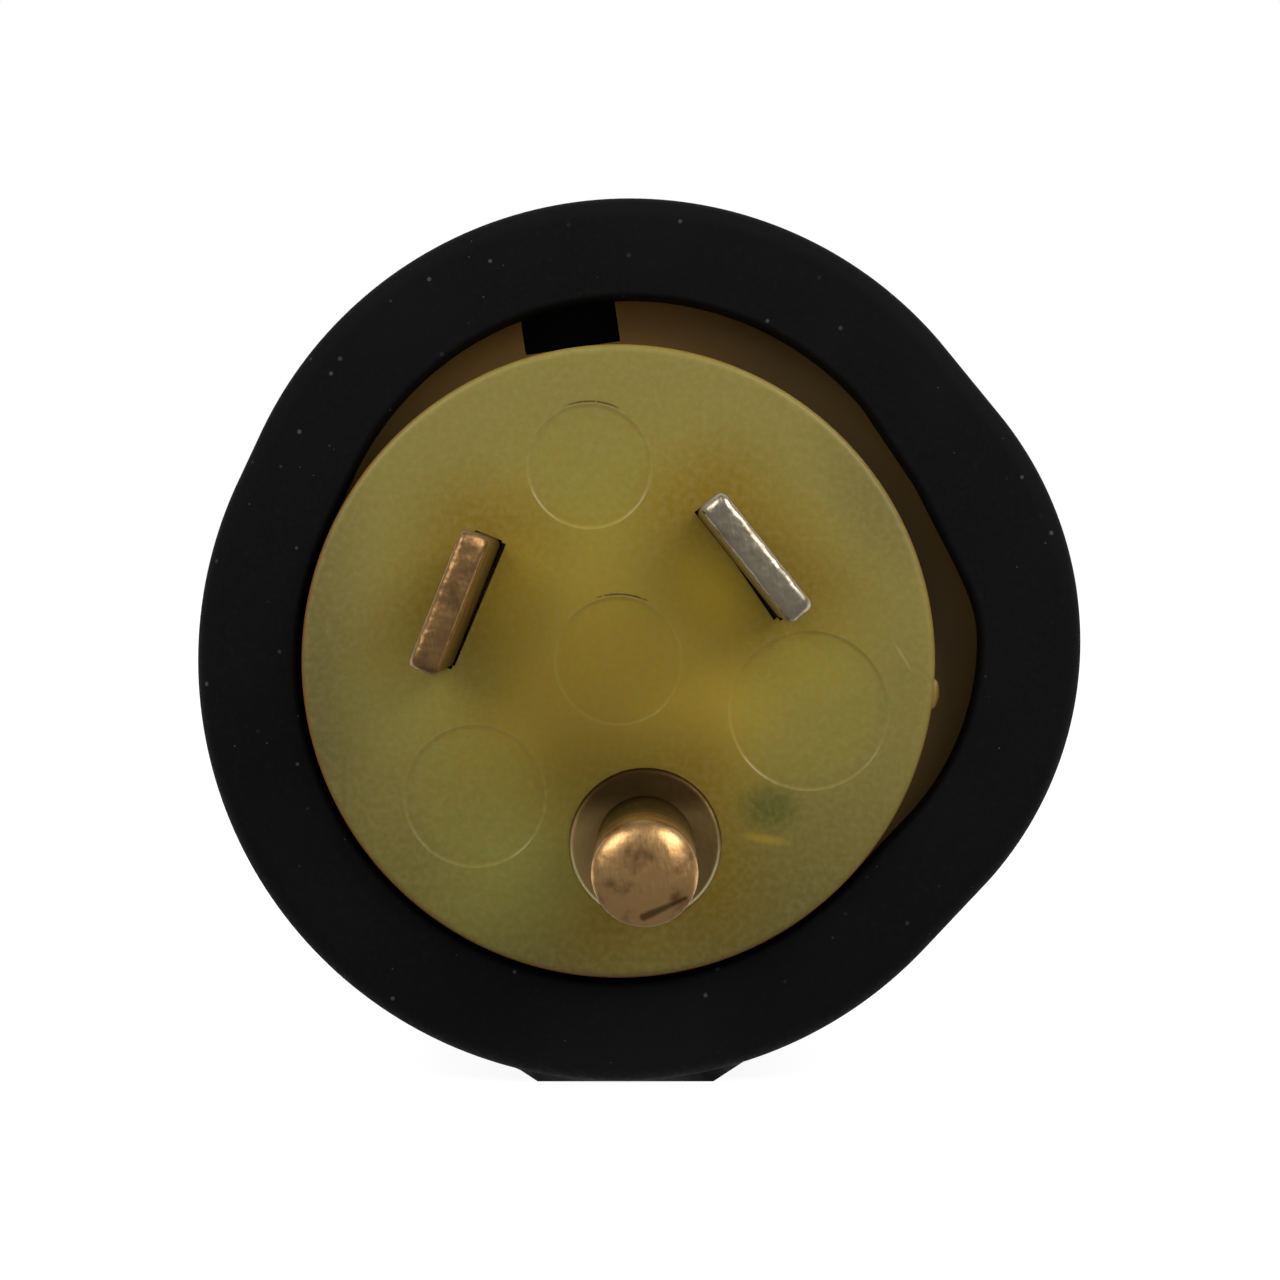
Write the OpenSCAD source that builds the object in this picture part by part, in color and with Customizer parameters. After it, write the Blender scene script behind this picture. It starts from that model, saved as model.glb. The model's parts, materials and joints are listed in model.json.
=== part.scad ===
// Rewireable 30 A shore power plug: two flat blades and a round ground pin in a nylon insert,
// held in a soft three-cornered rubber shell with a compression gland for the cord.
// Every piece is drawn upright about the plug axis, with the contact face at height 0 and the
// contacts pointing up, and is then laid on the shell's flat pad with the contacts towards -Y.

/* [Contact face] */
// Diameter of the round contact face
face_d = 36.4; // [36:0.1:39]
// How far the contact face stands ahead of the shell's lip
face_proud = 1.2; // [0.6:0.1:3]
// Turn of the contacts about the plug axis, from the ground pin straight down
clock_angle = 8.4; // [0:0.2:30]
// Radius of the rounded rim of the contact face
face_edge = 0.5; // [0.2:0.1:1]
// Thickness of the insert's flange
flange_t = 4; // [3.2:0.1:6]
// Width of the keyway in the flange's rim, opposite the ground pin
key_w = 5.6; // [3:0.1:8]
// Depth of the round recesses moulded in the contact face
mark_depth = 0.2; // [0.1:0.05:0.4]

/* [Blades and ground pin] */
// Width of a flat blade
blade_w = 7.9; // [6:0.1:9]
// Thickness of a flat blade
blade_t = 1.6; // [1.2:0.1:2.4]
// Length of a flat blade ahead of the contact face
blade_len = 18; // [14:0.5:22]
// Distance of a blade's middle plane from the plug axis
blade_pitch = 9.55; // [9:0.05:10.5]
// Chamfer on the corners of a blade's tip
blade_chamfer = 0.9; // [0.3:0.1:1.5]
// Diameter of the ground pin
ground_d = 5.6; // [4.6:0.1:7]
// Length of the ground pin ahead of the contact face
ground_len = 24; // [18:0.5:28]
// Distance of the ground pin's axis from the plug axis
ground_pitch = 10.6; // [10:0.1:11.5]
// Diameter of the ground pin's collar in the contact face
collar_d = 8.7; // [7.6:0.1:9.4]
// How far the collar stands ahead of the contact face
collar_proud = 0.4; // [0.2:0.1:1]

/* [Rubber shell] */
// Thickness of the lip around the contact face
lip_wall = 6; // [5.9:0.1:9]
// Depth of the lip in front of the insert's flange
lip_t = 3.8; // [2.5:0.1:6]
// Sideways offset of the right corner from the plug axis
right_corner_x = 6; // [3:0.1:7]
// Upward offset of the right corner from the plug axis
right_corner_y = 1.1; // [0:0.1:3]
// How much smaller the right corner's radius is than the round part's
right_corner_cut = 3.6; // [2:0.1:5]
// Sideways offset of the top corner from the plug axis
top_corner_x = 0.65; // [0:0.05:2]
// Upward offset of the top corner from the plug axis
top_corner_y = 3.15; // [2:0.05:4]
// How much smaller the top corner's radius is than the round part's
top_corner_cut = 0.75; // [0.4:0.05:1.5]
// Rounding of the lip's outer edge
lip_round = 1.2; // [0.6:0.1:2]
// Number of grip grooves round the barrel
grip_count = 4; // [2:1:4]
// Distance between neighbouring grip grooves
grip_pitch = 4.6; // [4:0.1:5]
// Width of a grip groove
grip_w = 2.4; // [1.6:0.1:2.8]
// Depth of a grip groove
grip_depth = 0.9; // [0.4:0.1:1.4]
// Length of the taper from the barrel to the neck
taper_len = 12; // [9:0.5:18]
// Diameter of the neck
neck_d = 35; // [33.6:0.2:40]
// Length of the neck
neck_len = 8; // [5:0.5:14]
// Width of the flat pad that the plug lies on
pad_w = 10.2; // [6:0.2:12]
// How far the pad's middle lies to the right of the plug axis
pad_offset = 0.4; // [0:0.1:1]
// How far the flat pad stands below the round part of the barrel
pad_drop = 0.1; // [0.1:0.05:0.4]

/* [Terminals] */
// Diameter of a terminal screw's thread
terminal_screw_d = 4.1; // [3.5:0.1:4.6]
// Diameter of a terminal screw's head
terminal_head_d = 7.8; // [6.6:0.1:8.4]
// Height of a terminal screw's head
terminal_head_h = 2.3; // [1.6:0.1:2.6]
// Room for a bare conductor under the clamp plate
wire_gap = 3.2; // [2.6:0.1:3.6]
// Thickness of a clamp plate
clamp_t = 1.5; // [1.2:0.1:2]
// Side of a square clamp plate
clamp_side = 9; // [8.4:0.1:10]
// Thickness of the contact retainer's plate
retainer_t = 3; // [2.4:0.1:4]
// Thickness of the barriers between the terminals
barrier_t = 2.4; // [1.6:0.1:2.6]
// Diameter of a retainer screw's thread
retainer_screw_d = 2.8; // [2.4:0.1:3.4]
// Free depth behind the terminals for the conductors
wiring_room = 6; // [4:0.5:14]

/* [Cord gland] */
// Diameter of the cord that the gland takes
cord_d = 17.5; // [15:0.1:18.5]
// Wall of the rubber seal round the cord
seal_wall = 3.2; // [2.4:0.1:3.8]
// Length of the rubber seal
seal_len = 10; // [7:0.5:14]
// Wall of the gland sleeve under its threads
sleeve_wall = 2.1; // [1.6:0.1:2.6]
// Thickness of the sleeve's flange against the neck
sleeve_flange_t = 2.5; // [2.3:0.1:4]
// Diameter of the O-ring's section
o_ring_d = 1.6; // [1.2:0.1:1.8]
// Height of the locknut inside the shell
locknut_t = 3.5; // [2.5:0.1:5]
// Length of the split collet
collet_len = 4; // [3.4:0.1:6]
// Thickness of the slip washer
washer_t = 1.2; // [0.8:0.1:2]
// Wall of the gland nut outside its thread
nut_wall = 3.4; // [3:0.1:5]
// Thickness of the gland nut's end wall
nut_end_t = 2.6; // [2:0.1:4]
// Number of finger flutes round the gland nut
nut_flutes = 12; // [8:1:16]

/* [Hidden] */
$fn = 96;

// Clearances
fit = 0.07;             // between a contact and its slot, or a key and its keyway
thread_fit = 0.06;      // between a plain-drawn thread and its tapped hole
screw_clearance = 0.2;  // between a screw and a plain hole
lip_fit = 0.15;         // between the contact face's rim and the lip
seat_fit = 0.1;         // between the flange and its groove
sleeve_fit = 0.05;      // between the sleeve and what it seats in or holds
cord_fit = 0.05;        // between the cord and its seal
running_gap = 0.8;      // between the terminals and the chamber wall
through = 1;            // how far a cutter runs past the face that it opens
overlap = 0.5;          // how far two shapes of one piece run into each other

// Angles of the three terminals and of the keyway, seen from the front
hot_angle = 150 + clock_angle;
neutral_angle = 30 + clock_angle;
ground_angle = 270 + clock_angle;
key_angle = 90 + clock_angle;
terminal_angles = [hot_angle, neutral_angle, ground_angle];
between = 60;           // from a terminal to the next gap between terminals

// Radii of the terminals, measured from the plug axis
tail_outer = blade_pitch + blade_t / 2;
tail_inner = blade_pitch - blade_t / 2;
clamp_inner = tail_outer + wire_gap;
clamp_outer = clamp_inner + clamp_t;
head_outer = clamp_outer + terminal_head_h;
terminal_reach = norm([head_outer, terminal_head_d / 2]);
boss_h = 2.3;           // height of a tail's tapped boss
boss_wall = 1.2;        // wall of a tail's tapped boss
boss_r = terminal_screw_d / 2 + boss_wall;
screw_end = tail_inner - boss_h;
shoulder_ear = 2;       // how far a contact's shoulder stands out on each side
shoulder_t = 1.6;       // depth of the pocket for a contact's shoulder
collar_shoulder = 1.05; // how far the ground pin's shoulder stands out of its collar

// Radii of the insert and the retainer
face_r = face_d / 2;
key_step = 0.2;         // from the contact face's rim out to the keyway's floor
key_floor_r = face_r + key_step;
key_recess = 1.6;       // from the flange's front back to the shell's key
screw_bite = 1;         // of a retainer screw past the flange's front
// Moulded recesses: distance from the plug axis, angle from the keyway, radius
face_marks = [[0, 0, 3.7], [11.3, 0, 3.6], [11.3, 125, 4.1], [11.3, -113, 4.6]];
screw_edge = 2.2;       // wall between a retainer screw and the contact face's rim
retainer_screw_pitch = face_r - screw_edge - retainer_screw_d / 2;
retainer_head_rim = 1.2; // of a retainer screw's head past its thread
retainer_head_r = retainer_screw_d / 2 + retainer_head_rim;
retainer_head_h = 1.8;  // height of a retainer screw's head
retainer_edge = 0.4;    // from a retainer screw's head to the plate's rim or a barrier
retainer_r = max(terminal_reach, retainer_screw_pitch + retainer_head_r + retainer_edge);
barrier_hub_r = 2;      // of the post that the three barriers meet in
barrier_reach = retainer_screw_pitch - retainer_head_r - retainer_edge;
chamber_r = retainer_r + running_gap;

// Radii of the shell, whose outline is the tight loop round three circles
opening_r = face_r + lip_fit;
opening_reach = opening_r + max(norm([right_corner_x, right_corner_y]) - right_corner_cut,
    norm([top_corner_x, top_corner_y]) - top_corner_cut);
lip_cover = 0.8;        // least overlap of the lip on the flange
flange_seat = 3.4;      // width of the shell's ledge behind the flange
groove_wall = 2.2;      // least wall outside the flange's groove
flange_r = max(chamber_r + flange_seat, opening_reach + lip_cover);
outer_r = max(opening_r + lip_wall, flange_r + seat_fit + groove_wall);
lip_inset = outer_r - opening_r;
corners = [
    [0, 0, outer_r],
    [right_corner_x, right_corner_y, outer_r - right_corner_cut],
    [top_corner_x, top_corner_y, outer_r - top_corner_cut]];
outline_n = 64;         // points round the shell's outline

// Heights along the plug axis, from the contact face downwards
lip_top = -face_proud;
flange_top = lip_top - lip_t;
flange_bottom = flange_top - flange_t;
shoulder_top = flange_bottom + shoulder_t;
retainer_bottom = flange_bottom - retainer_t;
clamp_gap = 3;          // between the retainer and the clamp plates
screw_height = retainer_bottom - clamp_gap - clamp_side / 2;
tail_margin = 1;        // of a tail past its clamp plate
tail_bottom = screw_height - clamp_side / 2 - tail_margin;
barrier_margin = 2;     // of a barrier past the tails
barrier_bottom = tail_bottom - barrier_margin;
locknut_top = barrier_bottom - wiring_room;
chamber_bottom = locknut_top - locknut_t;
taper_lead = 2.5;       // from the start of the taper to the chamber's end
taper_top = chamber_bottom + taper_lead;
taper_bottom = taper_top - taper_len;
neck_bottom = taper_bottom - neck_len;
sleeve_proud = 0.5;     // of the sleeve past its locknut
sleeve_top = locknut_top + sleeve_proud;
sleeve_flange_bottom = neck_bottom - sleeve_flange_t;
seat_floor_t = 1;       // of the sleeve in front of the seal
seal_top = neck_bottom - seat_floor_t;
seal_bottom = seal_top - seal_len;
collet_bottom = seal_bottom - collet_len;
collet_proud = 2;       // of the collet past the sleeve
sleeve_bottom = collet_bottom + collet_proud;
washer_bottom = collet_bottom - washer_t;
nut_bottom = washer_bottom - nut_end_t;
nut_gap = 1.5;          // between the sleeve's flange and the nut
nut_top = sleeve_flange_bottom - nut_gap;

// Radii of the gland, all from the cord outwards
seal_bore_r = cord_d / 2 + cord_fit;
seal_r = seal_bore_r + seal_wall;
collet_step = 0.2;      // from the seal's bore out to the collet's
exit_step = 0.5;        // from the seal's bore out to the washer's and the nut's
collet_bore_r = seal_bore_r + collet_step;
exit_r = seal_bore_r + exit_step;
seat_r = seal_r + sleeve_fit;
thread_r = seat_r + sleeve_wall;
sleeve_step = 0.25;     // from the seal's seat out to the sleeve's front tube
front_wall = 1.7;       // wall of the sleeve's front tube
sleeve_r = seat_r + sleeve_step;
sleeve_bore_r = sleeve_r - front_wall;
neck_bore_r = sleeve_r + sleeve_fit;
nut_bore_r = thread_r + thread_fit;
nut_r = nut_bore_r + nut_wall;
washer_gap = 0.8;       // between the slip washer and the nut's thread
washer_r = nut_bore_r - washer_gap;
neck_wall = 4.4;        // least wall of the neck
neck_r = max(neck_d / 2, neck_bore_r + neck_wall);
sleeve_flange_inset = 0.6; // from the neck's side in to the sleeve's flange
sleeve_flange_r = neck_r - sleeve_flange_inset;
o_ring_r = (neck_bore_r + sleeve_flange_r) / 2;
o_ring_slack = 0.05;    // round the O-ring in its groove
locknut_wall = 3.6;     // from the sleeve's thread out to the locknut's corners
locknut_r = sleeve_r + locknut_wall;

// Place of the upright drawing in the laid-down plug: the box is centred on X and Y and rests on 0
right_reach = max([for (c = corners) c[0] + c[2]]);
left_reach = max([for (c = corners) c[2] - c[0]]);
axis_x = (left_reach - right_reach) / 2;
face_y = (ground_len + nut_bottom) / 2;
axis_z = outer_r + pad_drop;

module laid_down() {
    translate([axis_x, face_y, axis_z]) rotate([90, 0, 0]) children();
}

// Turns a drawing so that its +X points outwards at an angle
module at_angle(angle) {
    rotate([0, 0, angle]) children();
}

// A cylinder between two heights
module rod(r, low, high) {
    translate([0, 0, low]) cylinder(r = r, h = high - low);
}

// A cylinder along +X between two distances from the plug axis
module cross_rod(r, near, far) {
    translate([near, 0, 0]) rotate([0, 90, 0]) cylinder(r = r, h = far - near);
}

// A block that is centred on Y
module block(near, far, width, low, high) {
    translate([near, -width / 2, low]) cube([far - near, width, high - low]);
}

// Point of the shell's outline whose outward direction is t: the tight loop round the three corners
function corner_point(t, inset) =
    let (way = [cos(t), sin(t)],
         reach = [for (c = corners) c[0] * way[0] + c[1] * way[1] + c[2]],
         k = search(max(reach), reach)[0])
    [corners[k][0], corners[k][1]] + (corners[k][2] - inset) * way;

function outline_angles() = [for (i = [0:outline_n - 1]) 360 * i / outline_n];

// One ring of the shell: its height, how far it lies inside the outline, and its share of neck
function shell_ring(ring) = [for (t = outline_angles())
    let (neck_point = (neck_r - ring[1]) * [cos(t), sin(t)],
         p = (1 - ring[2]) * corner_point(t, ring[1]) + ring[2] * neck_point)
    [p[0], p[1], ring[0]]];

function ease(s) = s * s * (3 - 2 * s);

lip_rings = [for (a = [90:-22.5:0])
    [lip_top - lip_round * (1 - sin(a)), lip_round * (1 - cos(a)), 0]];
grip_margin = 0.6;      // from the last grip groove to the taper
grip_last = taper_top + grip_margin + grip_w / 2;
grip_first = grip_last + (grip_count - 1) * grip_pitch;
grip_rings = [for (g = [0:grip_count - 1], s = [0:0.25:1])
    [grip_first - g * grip_pitch + grip_w * (0.5 - s), grip_depth * sin(180 * s), 0]];
taper_steps = 6;
taper_rings = [for (i = [0:taper_steps])
    [taper_top - taper_len * i / taper_steps, 0, ease(i / taper_steps)]];
neck_round = 0.8;       // rounding of the neck's end
neck_rings = [for (a = [0:45:90])
    [neck_bottom + neck_round * (1 - sin(a)), neck_round * (1 - cos(a)), 1]];
shell_rings = concat(lip_rings, grip_rings, taper_rings, neck_rings);

// A closed skin through rings of points, from the highest ring to the lowest
module skin(rings) {
    n = len(rings[0]);
    last = (len(rings) - 1) * n;
    sides = [for (k = [0:len(rings) - 2], i = [0:n - 1], upper = [true, false])
        let (a = k * n + i, b = k * n + (i + 1) % n, c = b + n, d = a + n)
        upper ? [a, b, c] : [a, c, d]];
    front = [for (i = [0:n - 1]) n - 1 - i];
    rear = [for (i = [0:n - 1]) last + i];
    polyhedron([for (r = rings, p = r) p], concat([front], sides, [rear]), convexity = 6);
}

// Flat pad under the barrel, with sloping sides
module rest_pad() {
    slope = 2.3;
    rise = 1.5;
    foot = -outer_r - pad_drop;
    translate([pad_offset, 0, taper_top]) linear_extrude(lip_top - lip_round - taper_top)
        polygon([[-pad_w / 2, foot], [pad_w / 2, foot], [pad_w / 2 + slope, foot + rise],
            [-pad_w / 2 - slope, foot + rise]]);
}

// Rubber key that fills the back of the flange's keyway
module shell_key() {
    at_angle(key_angle)
        block(chamber_r, flange_r + seat_fit + overlap, key_w - 2 * fit,
            flange_bottom - overlap, flange_top - key_recess);
}

module shell() {
    color([0.07, 0.07, 0.075]) union() {
        difference() {
            union() {
                skin([for (r = shell_rings) shell_ring(r)]);
                rest_pad();
            }
            translate([0, 0, flange_top - overlap]) linear_extrude(overlap + lip_t + through)
                polygon([for (t = outline_angles()) corner_point(t, lip_inset)]);
            rod(flange_r + seat_fit, flange_bottom, flange_top);
            rod(chamber_r, chamber_bottom, flange_top);
            rod(neck_bore_r, neck_bottom - through, chamber_bottom + through);
        }
        shell_key();
    }
}

// Slot through the insert and pocket in its back for one flat contact
module contact_slot() {
    block(tail_inner - fit, tail_outer + fit, blade_w + 2 * fit, flange_bottom - through, through);
    block(tail_inner - fit, tail_outer + fit, blade_w + 2 * shoulder_ear + 2 * fit,
        flange_bottom - through, shoulder_top);
}

// Shallow round recesses in the contact face, where the mould carries its inserts
module face_recesses() {
    for (mark = face_marks) at_angle(key_angle + mark[1]) translate([mark[0], 0, 0])
        rod(mark[2], -mark_depth, through);
}

module insert() {
    color([0.73, 0.69, 0.42]) difference() {
        rotate_extrude() polygon(concat(
            [[0, flange_bottom], [flange_r, flange_bottom], [flange_r, flange_top], [face_r, flange_top]],
            [for (a = [0:15:90]) [face_r - face_edge * (1 - cos(a)), -face_edge * (1 - sin(a))]],
            [[0, 0]]));
        at_angle(hot_angle) contact_slot();
        at_angle(neutral_angle) contact_slot();
        at_angle(ground_angle) translate([ground_pitch, 0, 0]) {
            rod(collar_d / 2 + fit, flange_bottom - through, through);
            rod(collar_d / 2 + collar_shoulder + fit, flange_bottom - through, shoulder_top);
        }
        at_angle(key_angle)
            block(key_floor_r, flange_r + through, key_w, flange_bottom - through, flange_top + through);
        for (angle = terminal_angles) at_angle(angle + between) translate([retainer_screw_pitch, 0, 0])
            rod(retainer_screw_d / 2 + thread_fit,
                flange_bottom - through, flange_top + screw_bite + overlap);
        face_recesses();
    }
}

// Tapped boss on the inner side of a contact's tail
module tail_boss() {
    translate([0, 0, screw_height]) cross_rod(boss_r, screw_end, tail_inner + blade_t / 2);
}

module tapped_hole() {
    translate([0, 0, screw_height])
        cross_rod(terminal_screw_d / 2 + thread_fit, screw_end - through, tail_outer + through);
}

module blade(angle) {
    half = blade_w / 2;
    ear = half + shoulder_ear;
    c = blade_chamfer;
    side = [[half - c, blade_len], [half, blade_len - c], [half, shoulder_top], [ear, shoulder_top],
        [ear, flange_bottom], [half, flange_bottom], [half, tail_bottom]];
    at_angle(angle) difference() {
        union() {
            translate([tail_inner, 0, 0]) rotate([90, 0, 90]) linear_extrude(blade_t)
                polygon(concat(side, [for (i = [len(side) - 1:-1:0]) [-side[i][0], side[i][1]]]));
            tail_boss();
        }
        tapped_hole();
    }
}

module hot_blade() {
    color([0.72, 0.55, 0.30]) blade(hot_angle);
}

module neutral_blade() {
    color([0.78, 0.77, 0.75]) blade(neutral_angle);
}

module ground_pin() {
    pin_r = ground_d / 2;
    collar_r = collar_d / 2;
    tip = 1.1;
    edge = 0.25;
    color([0.72, 0.55, 0.30]) at_angle(ground_angle) difference() {
        union() {
            translate([ground_pitch, 0, 0]) rotate_extrude() polygon(concat(
                [[0, flange_bottom], [collar_r + collar_shoulder, flange_bottom],
                    [collar_r + collar_shoulder, shoulder_top], [collar_r, shoulder_top],
                    [collar_r, collar_proud - edge], [collar_r - edge, collar_proud], [pin_r, collar_proud]],
                [for (a = [0:15:75]) [pin_r - tip * (1 - cos(a)), ground_len - tip * (1 - sin(a))]],
                [[0, ground_len]]));
            block(tail_inner, tail_outer, blade_w, tail_bottom, flange_bottom + shoulder_t / 2);
            tail_boss();
        }
        tapped_hole();
    }
}

// Plate behind the insert that traps the contacts, with a barrier between each pair of terminals
module contact_retainer() {
    color([0.86, 0.85, 0.80]) difference() {
        union() {
            rod(retainer_r, retainer_bottom, flange_bottom);
            rod(barrier_hub_r, barrier_bottom - overlap, retainer_bottom + overlap);
            for (angle = terminal_angles) at_angle(angle + between)
                block(barrier_hub_r - overlap, barrier_reach, barrier_t,
                    barrier_bottom, retainer_bottom + overlap);
        }
        for (angle = terminal_angles) {
            at_angle(angle)
                block(tail_inner - fit, tail_outer + fit, blade_w + 2 * fit,
                    retainer_bottom - through, flange_bottom + through);
            at_angle(angle + between) translate([retainer_screw_pitch, 0, 0])
                rod(retainer_screw_d / 2 + screw_clearance,
                    retainer_bottom - through, flange_bottom + through);
        }
    }
}

module retainer_screws() {
    head_low = retainer_bottom - retainer_head_h;
    cross_w = 0.7;
    cross_depth = 1;
    color([0.70, 0.71, 0.73]) for (angle = terminal_angles)
        at_angle(angle + between) translate([retainer_screw_pitch, 0, 0]) difference() {
            union() {
                rod(retainer_screw_d / 2, retainer_bottom - overlap, flange_top + screw_bite);
                rod(retainer_head_r, head_low, retainer_bottom);
            }
            for (turn = [0, 90]) rotate([0, 0, turn])
                block(-retainer_head_r / 2, retainer_head_r / 2, cross_w,
                    head_low - through, head_low + cross_depth);
        }
}

// Square plate that presses a bare conductor onto a contact's tail
module clamp(angle) {
    tooth = 0.5;
    tooth_edge = 1.3;
    at_angle(angle) difference() {
        block(clamp_inner, clamp_outer, clamp_side,
            screw_height - clamp_side / 2, screw_height + clamp_side / 2);
        translate([0, 0, screw_height])
            cross_rod(terminal_screw_d / 2 + screw_clearance, clamp_inner - through, clamp_outer + through);
        for (side = [-1, 1]) translate([clamp_inner, side * (clamp_side / 2 - tooth_edge), screw_height])
            rotate([0, 0, 45]) cube([tooth, tooth, clamp_side + through], center = true);
    }
}

module hot_clamp() {
    color([0.72, 0.55, 0.30]) clamp(hot_angle);
}

module neutral_clamp() {
    color([0.78, 0.77, 0.75]) clamp(neutral_angle);
}

module ground_clamp() {
    color([0.72, 0.55, 0.30]) clamp(ground_angle);
}

// Slotted screw that draws a clamp plate in
module terminal_screw(angle) {
    slot_w = 1;
    slot_depth = 1.1;
    at_angle(angle) translate([0, 0, screw_height]) difference() {
        union() {
            cross_rod(terminal_screw_d / 2, screw_end, clamp_outer + overlap);
            cross_rod(terminal_head_d / 2, clamp_outer, head_outer);
        }
        block(head_outer - slot_depth, head_outer + through, slot_w, -terminal_head_d, terminal_head_d);
    }
}

module hot_screw() {
    color([0.74, 0.58, 0.30]) terminal_screw(hot_angle);
}

module neutral_screw() {
    color([0.78, 0.78, 0.77]) terminal_screw(neutral_angle);
}

module ground_screw() {
    color([0.20, 0.42, 0.22]) terminal_screw(ground_angle);
}

// Threaded tube through the neck, which carries the seal, the collet and the nut
module gland_sleeve() {
    groove_half = o_ring_d / 2 + o_ring_slack;
    groove_floor = neck_bottom - o_ring_d - o_ring_slack;
    color([0.10, 0.10, 0.105]) difference() {
        union() {
            rod(sleeve_r, neck_bottom - overlap, sleeve_top);
            rod(sleeve_flange_r, sleeve_flange_bottom, neck_bottom);
            rod(thread_r, sleeve_bottom, neck_bottom - overlap);
        }
        rod(sleeve_bore_r, seal_top - through, sleeve_top + through);
        rod(seat_r, sleeve_bottom - through, seal_top);
        difference() {
            rod(o_ring_r + groove_half, groove_floor, neck_bottom + through);
            rod(o_ring_r - groove_half, groove_floor - through, neck_bottom + 2 * through);
        }
    }
}

module sleeve_o_ring() {
    color([0.05, 0.05, 0.05]) translate([0, 0, neck_bottom - (o_ring_d + o_ring_slack) / 2])
        rotate_extrude() translate([o_ring_r, 0]) circle(d = o_ring_d);
}

module sleeve_locknut() {
    color([0.10, 0.10, 0.105]) difference() {
        translate([0, 0, chamber_bottom]) cylinder(r = locknut_r, h = locknut_t, $fn = 6);
        rod(sleeve_r + thread_fit, chamber_bottom - through, locknut_top + through);
    }
}

module cord_seal() {
    color([0.16, 0.16, 0.16]) difference() {
        rod(seal_r, seal_bottom, seal_top);
        rod(seal_bore_r, seal_bottom - through, seal_top + through);
    }
}

// Split ring whose fingers close on the cord as the nut comes up
module cord_collet() {
    slots = 8;
    slot_w = 1.2;
    web = 1.1;
    nose = 1;
    color([0.86, 0.85, 0.80]) difference() {
        rotate_extrude() polygon([[collet_bore_r, seal_bottom], [seal_r, seal_bottom],
            [seal_r, sleeve_bottom], [seal_r - nose, collet_bottom], [collet_bore_r, collet_bottom]]);
        for (i = [0:slots - 1]) rotate([0, 0, 360 * i / slots])
            block(0, seal_r + through, slot_w, collet_bottom - through, seal_bottom - web);
    }
}

module slip_washer() {
    color([0.74, 0.75, 0.76]) difference() {
        rod(washer_r, washer_bottom, collet_bottom);
        rod(exit_r, washer_bottom - through, collet_bottom + through);
    }
}

module gland_nut() {
    flute_r = 2.4;
    flute_depth = 0.9;
    rear_round = 1.2;
    front_chamfer = 0.6;
    flute_margin = 3;
    color([0.09, 0.09, 0.095]) difference() {
        rotate_extrude() polygon(concat(
            [[exit_r, nut_bottom]],
            [for (a = [0:22.5:90])
                [nut_r - rear_round * (1 - sin(a)), nut_bottom + rear_round * (1 - cos(a))]],
            [[nut_r, nut_top - front_chamfer], [nut_r - front_chamfer, nut_top], [nut_bore_r, nut_top],
                [nut_bore_r, washer_bottom], [exit_r, washer_bottom]]));
        for (i = [0:nut_flutes - 1]) rotate([0, 0, 360 * (i + 0.5) / nut_flutes])
            translate([nut_r + flute_r - flute_depth, 0, 0])
                rod(flute_r, nut_bottom - through, nut_top - flute_margin);
    }
}

laid_down() shell();
laid_down() insert();
laid_down() hot_blade();
laid_down() neutral_blade();
laid_down() ground_pin();
laid_down() contact_retainer();
laid_down() retainer_screws();
laid_down() hot_clamp();
laid_down() neutral_clamp();
laid_down() ground_clamp();
laid_down() hot_screw();
laid_down() neutral_screw();
laid_down() ground_screw();
laid_down() gland_sleeve();
laid_down() sleeve_o_ring();
laid_down() sleeve_locknut();
laid_down() cord_seal();
laid_down() cord_collet();
laid_down() slip_washer();
laid_down() gland_nut();
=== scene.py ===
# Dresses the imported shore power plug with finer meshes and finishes, and sets it in a plain studio.
# Lengths are in metres. Pieces are drawn upright about the plug axis, with the contact face at height 0
# and the contacts pointing up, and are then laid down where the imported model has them.

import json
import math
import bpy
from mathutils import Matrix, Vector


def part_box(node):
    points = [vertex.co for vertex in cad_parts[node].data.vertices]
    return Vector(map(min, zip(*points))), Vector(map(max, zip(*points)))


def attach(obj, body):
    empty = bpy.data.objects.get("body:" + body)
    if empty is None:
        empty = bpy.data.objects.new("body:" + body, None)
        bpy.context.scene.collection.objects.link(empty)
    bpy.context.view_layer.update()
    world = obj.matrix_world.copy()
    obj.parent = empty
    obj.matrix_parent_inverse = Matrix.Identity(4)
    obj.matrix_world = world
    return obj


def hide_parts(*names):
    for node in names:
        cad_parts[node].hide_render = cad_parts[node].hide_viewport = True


bl_info = {
    "name": "Shore Power Plug",
    "version": (1, 0, 0),
    "blender": (4, 5, 0),
    "location": "View3D > Sidebar > Shore Plug",
    "description": "Builds the dressed shore power plug around its packed frame",
    "category": "Object",
}

import bmesh
import bpy
from mathutils import Matrix
from mathutils import Vector

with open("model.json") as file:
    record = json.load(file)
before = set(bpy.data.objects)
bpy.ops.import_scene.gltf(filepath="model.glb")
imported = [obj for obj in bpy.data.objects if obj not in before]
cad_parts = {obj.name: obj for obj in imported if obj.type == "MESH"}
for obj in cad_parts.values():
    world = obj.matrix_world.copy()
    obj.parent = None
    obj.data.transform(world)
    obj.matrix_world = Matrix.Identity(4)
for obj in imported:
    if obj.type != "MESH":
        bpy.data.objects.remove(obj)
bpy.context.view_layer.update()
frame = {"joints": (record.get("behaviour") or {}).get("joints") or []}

MM = 0.001
TURN = 2 * math.pi
RIGHT_ANGLE = math.radians(90)
MOST_ROUNDED = 0.48          # share of an outline's side that one corner's rounding may take
TINY = 1e-6                  # least distance from the axis, so that nothing is divided by 0

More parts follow.
